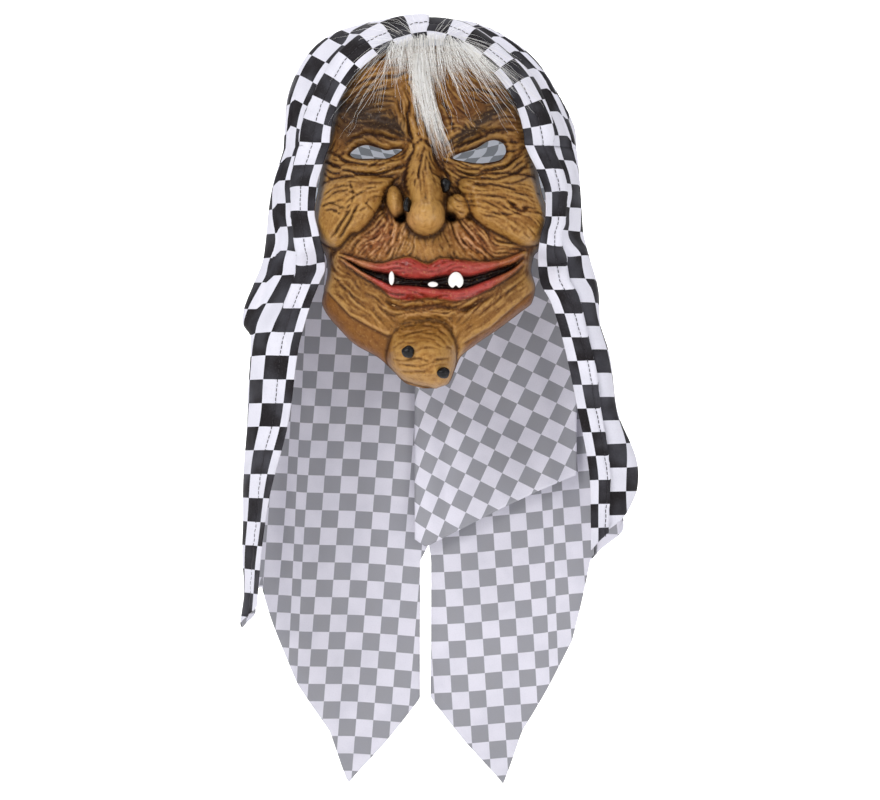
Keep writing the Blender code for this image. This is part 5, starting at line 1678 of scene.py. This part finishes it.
def hairTree():
    tree = NodeTree("hairStrands", [("Strands", "NodeSocketInt"), ("Spread", "NodeSocketFloat"),
                                    ("Thickness", "NodeSocketFloat"), ("Seed", "NodeSocketInt")])
    many = tree.tree.nodes.new("GeometryNodeDuplicateElements")
    many.domain = "SPLINE"
    tree.tree.links.new(tree.given("Geometry"), many.inputs["Geometry"])
    tree.tree.links.new(tree.given("Strands"), many.inputs["Amount"])
    splineNumber = tree.add("GeometryNodeInputIndex")
    owner = tree.add("GeometryNodeFieldOnDomain", {"domain": "CURVE", "data_type": "INT"}, {0: splineNumber})
    share = tree.add("GeometryNodeSplineParameter")
    away = tree.add(
        "FunctionNodeRandomValue", {"data_type": "FLOAT_VECTOR"},
        {0: (-1.0, -1.0, -1.0), 1: (1.0, 1.0, 1.0), "ID": owner, "Seed": tree.given("Seed")},
    )
    ramp = tree.add("ShaderNodeMapRange", None, {0: share, 1: 0.0, 2: 1.0, 3: 0.55, 4: 1.55})
    reach = tree.add("ShaderNodeMath", {"operation": "MULTIPLY"}, {0: ramp, 1: tree.given("Spread")})
    offset = tree.add("ShaderNodeVectorMath", {"operation": "SCALE"}, {0: away, "Scale": reach})
    place = tree.add("GeometryNodeInputPosition")
    shifted = tree.add("ShaderNodeVectorMath", {"operation": "ADD"}, {0: place, 1: offset})
    wave = tree.add(
        "ShaderNodeTexNoise", {"noise_dimensions": "4D"},
        {"Vector": shifted, "W": owner, "Scale": 70.0, "Detail": 1.0}, output=1,
    )
    waved = tree.add("ShaderNodeVectorMath", {"operation": "SUBTRACT"}, {0: wave, 1: (0.5, 0.5, 0.5)})
    drift = tree.add("ShaderNodeMath", {"operation": "MULTIPLY"}, {0: share, 1: 0.011})
    waved = tree.add("ShaderNodeVectorMath", {"operation": "SCALE"}, {0: waved, "Scale": drift})
    total = tree.add("ShaderNodeVectorMath", {"operation": "ADD"}, {0: offset, 1: waved})
    moved = tree.add("GeometryNodeSetPosition", None, {"Geometry": many.outputs["Geometry"], "Offset": total})
    tone = tree.add("FunctionNodeRandomValue", {"data_type": "FLOAT"},
                    {2: 0.0, 3: 1.0, "ID": owner, "Seed": 8}, output=1)
    toned = tree.add("GeometryNodeStoreNamedAttribute", {"data_type": "FLOAT", "domain": "POINT"},
                     {"Geometry": moved, "Name": "strand", "Value": tone})
    thin = tree.add("ShaderNodeMapRange", None, {0: share, 1: 0.55, 2: 1.0, 3: 1.0, 4: 0.25})
    radius = tree.add("ShaderNodeMath", {"operation": "MULTIPLY"}, {0: thin, 1: tree.given("Thickness")})
    sized = tree.add("GeometryNodeSetCurveRadius", None, {"Curve": toned, "Radius": radius})
    ring = tree.add("GeometryNodeCurvePrimitiveCircle", None, {"Resolution": 3, "Radius": 1.0})
    tube = tree.tree.nodes.new("GeometryNodeCurveToMesh")
    tree.tree.links.new(sized, tube.inputs["Curve"])
    tree.tree.links.new(ring, tube.inputs["Profile Curve"])
    if "Scale" in tube.inputs:
        tree.tree.links.new(radius, tube.inputs["Scale"])
    tube.inputs["Fill Caps"].default_value = True
    return tree.finish(tube.outputs[0], hairFinish)


def buildHair(name, locks, settings):
    lines = []
    for rootX, rootZ, bendX, bendZ, tipX, tipZ, lift in locks:
        share = np.linspace(0, 1, 9)
        x = ((1 - share) ** 2 * rootX + 2 * share * (1 - share) * bendX + share**2 * tipX) * mm
        z = ((1 - share) ** 2 * rootZ + 2 * share * (1 - share) * bendZ + share**2 * tipZ) * mm
        seat = faceFront(x, np.minimum(z, -0.026), 4.0)
        height = (2.2 + lift * np.sin(np.pi * np.clip(share * 1.1 + 0.1, 0, 1))) * mm
        lines.append(np.stack((x, seat - height, z), -1))
    return grown(lineObject(name + "Path", lines), hairTree(), settings)


hairTuft = buildHair("hairTuft", hairLocks, hairSettings)
hairStrays = buildHair("hairStrays", hairWisps, wispSettings)
print("hair grown", len(hairTuft.data.vertices) + len(hairStrays.data.vertices), "points")


# Warts and teeth, seated on the face

warts = {  # name: x, z, wide, tall, height, CAD node
    "noseWartUpper": (12.9, -130.5, 8.4, 11.4, 4.6, "nose_wart_upper"),
    "noseWartSide": (-14.8, -146.1, 6.2, 11.4, 4.6, "nose_wart_side"),
    "chinWartLeft": (-14.2, -253.4, 9.4, 9.4, 4.2, "chin_wart_left"),
    "chinWartRight": (11.4, -268.6, 9.8, 8.4, 4.4, "chin_wart_right"),
}


def faceNormal(x, z):
    step = 1.5
    aroundX, aroundZ = np.array([x + step, x, x - step, x]), np.array([z, z + step, z, z - step])
    east, up, west, down = sampleMap(smoothMap, aroundX, aroundZ)
    normal = np.array((-(east - west) / (2 * step), -1.0, -(up - down) / (2 * step)))
    return Vector(normal / np.linalg.norm(normal))


def buildWart(name, x, z, wide, tall, height):
    rings, segments = 9, 22
    points, faces = [], []
    for ring in range(1, rings + 1):
        lean = ring / rings * math.radians(112)
        for segment in range(segments):
            around = 2 * math.pi * segment / segments
            bumpy = 1 + 0.05 * math.sin(3 * around + x) + 0.03 * math.sin(5 * around)
            points.append((
                math.sin(lean) * math.cos(around) * wide / 2 * bumpy,
                math.sin(lean) * math.sin(around) * tall / 2 * bumpy,
                math.cos(lean) * height,
            ))
    points.append((0.0, 0.0, height))
    for ring in range(rings - 1):
        for segment in range(segments):
            after = (segment + 1) % segments
            faces.append((ring * segments + segment, (ring + 1) * segments + segment,
                          (ring + 1) * segments + after, ring * segments + after))
    top = len(points) - 1
    faces += [(top, segment, (segment + 1) % segments) for segment in range(segments)]
    faces.append(tuple((rings - 1) * segments + segment for segment in range(segments - 1, -1, -1)))
    normal = (faceNormal(x, z) + Vector((0, -3.0, 0))).normalized()
    turn = normal.to_track_quat("Z", "Y").to_matrix()
    front = float(faceFront(np.array(x * mm), np.array(z * mm), 1.5))
    seat = Vector((x * mm, front - 0.0014, z * mm))
    placed = [seat + turn @ (Vector(point) * mm) for point in points]
    return faceOutward(solidMesh(name, placed, faces, [wartFinish]))


teeth = {  # name: x, z, wide, tall, thick, lobes, forward of the lips' own surface, CAD node
    "toothLeft": (-26.6, -199.0, 4.0, 10.2, 3.0, 1, 1.0, "tooth_left"),
    "toothLower": (3.8, -203.6, 7.4, 4.0, 2.6, 1, 0.5, "tooth_lower"),
    "toothRight": (20.6, -200.6, 11.2, 12.4, 3.4, 2, 1.5, "tooth_right"),
}


def buildTooth(name, x, z, wide, tall, thick, lobes, proud):
    around = np.linspace(0, 2 * math.pi, 48, endpoint=False)
    outlineX, outlineZ = wide / 2 * np.cos(around), tall / 2 * np.sin(around)
    if lobes == 2:  # wider below, with a notch between the lobes
        outlineX = outlineX * (1 - 0.12 * outlineZ / (tall / 2))
        notch = 0.42 * tall / 2 * np.exp(-((outlineX / (wide * 0.13)) ** 2))
        outlineZ = outlineZ + np.where(outlineZ < 0, notch, 0)
    layers = [(math.cos(lean), math.sin(lean)) for lean in np.radians((78, 60, 40, 20, 0, -20, -45, -70))]
    front = -float(np.max(sampleMap(spread(forwardMap, 1.5, np.max), x + outlineX, z + outlineZ)))
    centre = front - proud + thick * 0.5
    points = []
    for size, depth in layers:
        size = size**0.7
        y = (centre - depth * thick / 2) * mm
        points += [((x + ox * size) * mm, y, (z + oz * size) * mm) for ox, oz in zip(outlineX, outlineZ)]
    count, last = len(around), (len(layers) - 1) * len(around)
    points += [(x * mm, (centre - thick / 2) * mm, z * mm), (x * mm, (centre + thick / 2) * mm, z * mm)]
    faces = []
    for place in range(count):
        after = (place + 1) % count
        for layer in range(len(layers) - 1):
            here, below = layer * count, (layer + 1) * count
            faces.append((here + place, below + place, below + after, here + after))
        faces.append((len(points) - 2, place, after))
        faces.append((len(points) - 1, last + after, last + place))
    return faceOutward(evenFaces(solidMesh(name, points, faces, [toothFinish])))


wartPieces = {name: (buildWart(name, *row[:5]), row[5]) for name, row in warts.items()}
toothPieces = {name: (buildTooth(name, *row[:7]), row[7]) for name, row in teeth.items()}
print("warts and teeth set")


# Studio: a pale sweep, soft lights and the camera

studio = {
    "floor": -0.640,
    "bend": 0.8,
    "wall": 5.0,
    "camera": (0.009, -2.2, -0.2885),
    "lens": 116.9,
}


def buildSweep():
    bend, wall = studio["bend"], studio["wall"]  # the wall stands behind a camera that looks at the back
    profile = [(-5.0, studio["floor"])] + [
        (wall - bend + bend * math.sin(lean), studio["floor"] + bend - bend * math.cos(lean))
        for lean in np.linspace(0, math.pi / 2, 16)
    ] + [(wall, 4.0)]
    points = [(x, y, z) for x in (-4.0, 4.0) for y, z in profile]
    count = len(profile)
    faces = [(a, count + a, count + a + 1, a + 1) for a in range(count - 1)]
    graph = ShaderGraph("paleSweep")
    grain = graph.noise(graph.place(), 30.0, 2.0, 0.5)
    graph.finish(
        Base_Color=graph.mix(grain * 0.2, hexColour("fbfbfb"), hexColour("f2f2f3")),
        Roughness=0.9,
        Emission_Color=hexColour("ffffff"),
        Emission_Strength=0.40,
    )
    return solidMesh("floorSweep", points, faces, [graph.material])


def softLight(name, place, target, size, power, colour=(1, 1, 1)):
    light = bpy.data.lights.new(name, "AREA")
    light.shape = "RECTANGLE"
    light.size, light.size_y = size
    light.energy = power
    light.color = colour
    lamp = bpy.data.objects.new(name, light)
    lamp.location = place
    lamp.rotation_euler = (Vector(target) - Vector(place)).to_track_quat("-Z", "Y").to_euler()
    bpy.context.scene.collection.objects.link(lamp)


floorSweep = buildSweep()
softLight("keyLight", (-1.1, -1.7, 0.9), (0.0, 0.0, -0.25), (1.0, 1.0), 23.0)
softLight("fillLight", (1.5, -1.6, 0.2), (0.0, 0.0, -0.3), (1.2, 1.4), 9.5)
softLight("topLight", (0.0, 0.3, 1.5), (0.0, 0.2, -0.3), (1.6, 1.2), 12.0)
softLight("sweepLight", (0.0, 2.8, 2.2), (0.0, 5.0, -0.3), (4.0, 1.0), 110.0)

world = bpy.data.worlds.new("studioAir")
world.use_nodes = True
world.node_tree.nodes["Background"].inputs["Color"].default_value = (1, 1, 1, 1)
world.node_tree.nodes["Background"].inputs["Strength"].default_value = 0.50
bpy.context.scene.world = world
bpy.context.scene.view_settings.view_transform = "Standard"

cameraData = bpy.data.cameras.new("photoCamera")
cameraData.lens = studio["lens"]
cameraData.sensor_width = 36.0
cameraData.clip_end = 30.0
camera = bpy.data.objects.new("photoCamera", cameraData)
camera.location = studio["camera"]
camera.rotation_euler = (math.pi / 2, 0, 0)
bpy.context.scene.collection.objects.link(camera)
bpy.context.scene.camera = camera
print("studio set")


# Handing the pieces over

def handOver(piece, slot, *nodes):
    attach(piece, "root")
    if nodes:
        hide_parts(*nodes)


def flatArea(piece):  # half of a thin shell's area
    mesh = piece.data
    return sum(polygon.area for polygon in mesh.polygons) / 2


handOver(faceSkin, "latex", "mask_face")
handOver(hoodCloth, "checked_cloth", "hood")
handOver(hemStitches, "checked_cloth")
handOver(backPanels[-1], "checked_cloth", "back_panel_left")
handOver(backPanels[1], "checked_cloth", "back_panel_right")
handOver(innerPanel, "checked_cloth", "inner_panel")
handOver(hairTuft, "hair", "hair_tuft")
handOver(hairStrays, "hair", "hair_tuft")
for piece, node in wartPieces.values():
    handOver(piece, "wart_paint", node)
for piece, node in toothPieces.values():
    handOver(piece, "tooth_paint", node)
for piece in (hoodCloth, backPanels[-1], backPanels[1], innerPanel):
    print(piece.name, "area", round(flatArea(piece), 4))
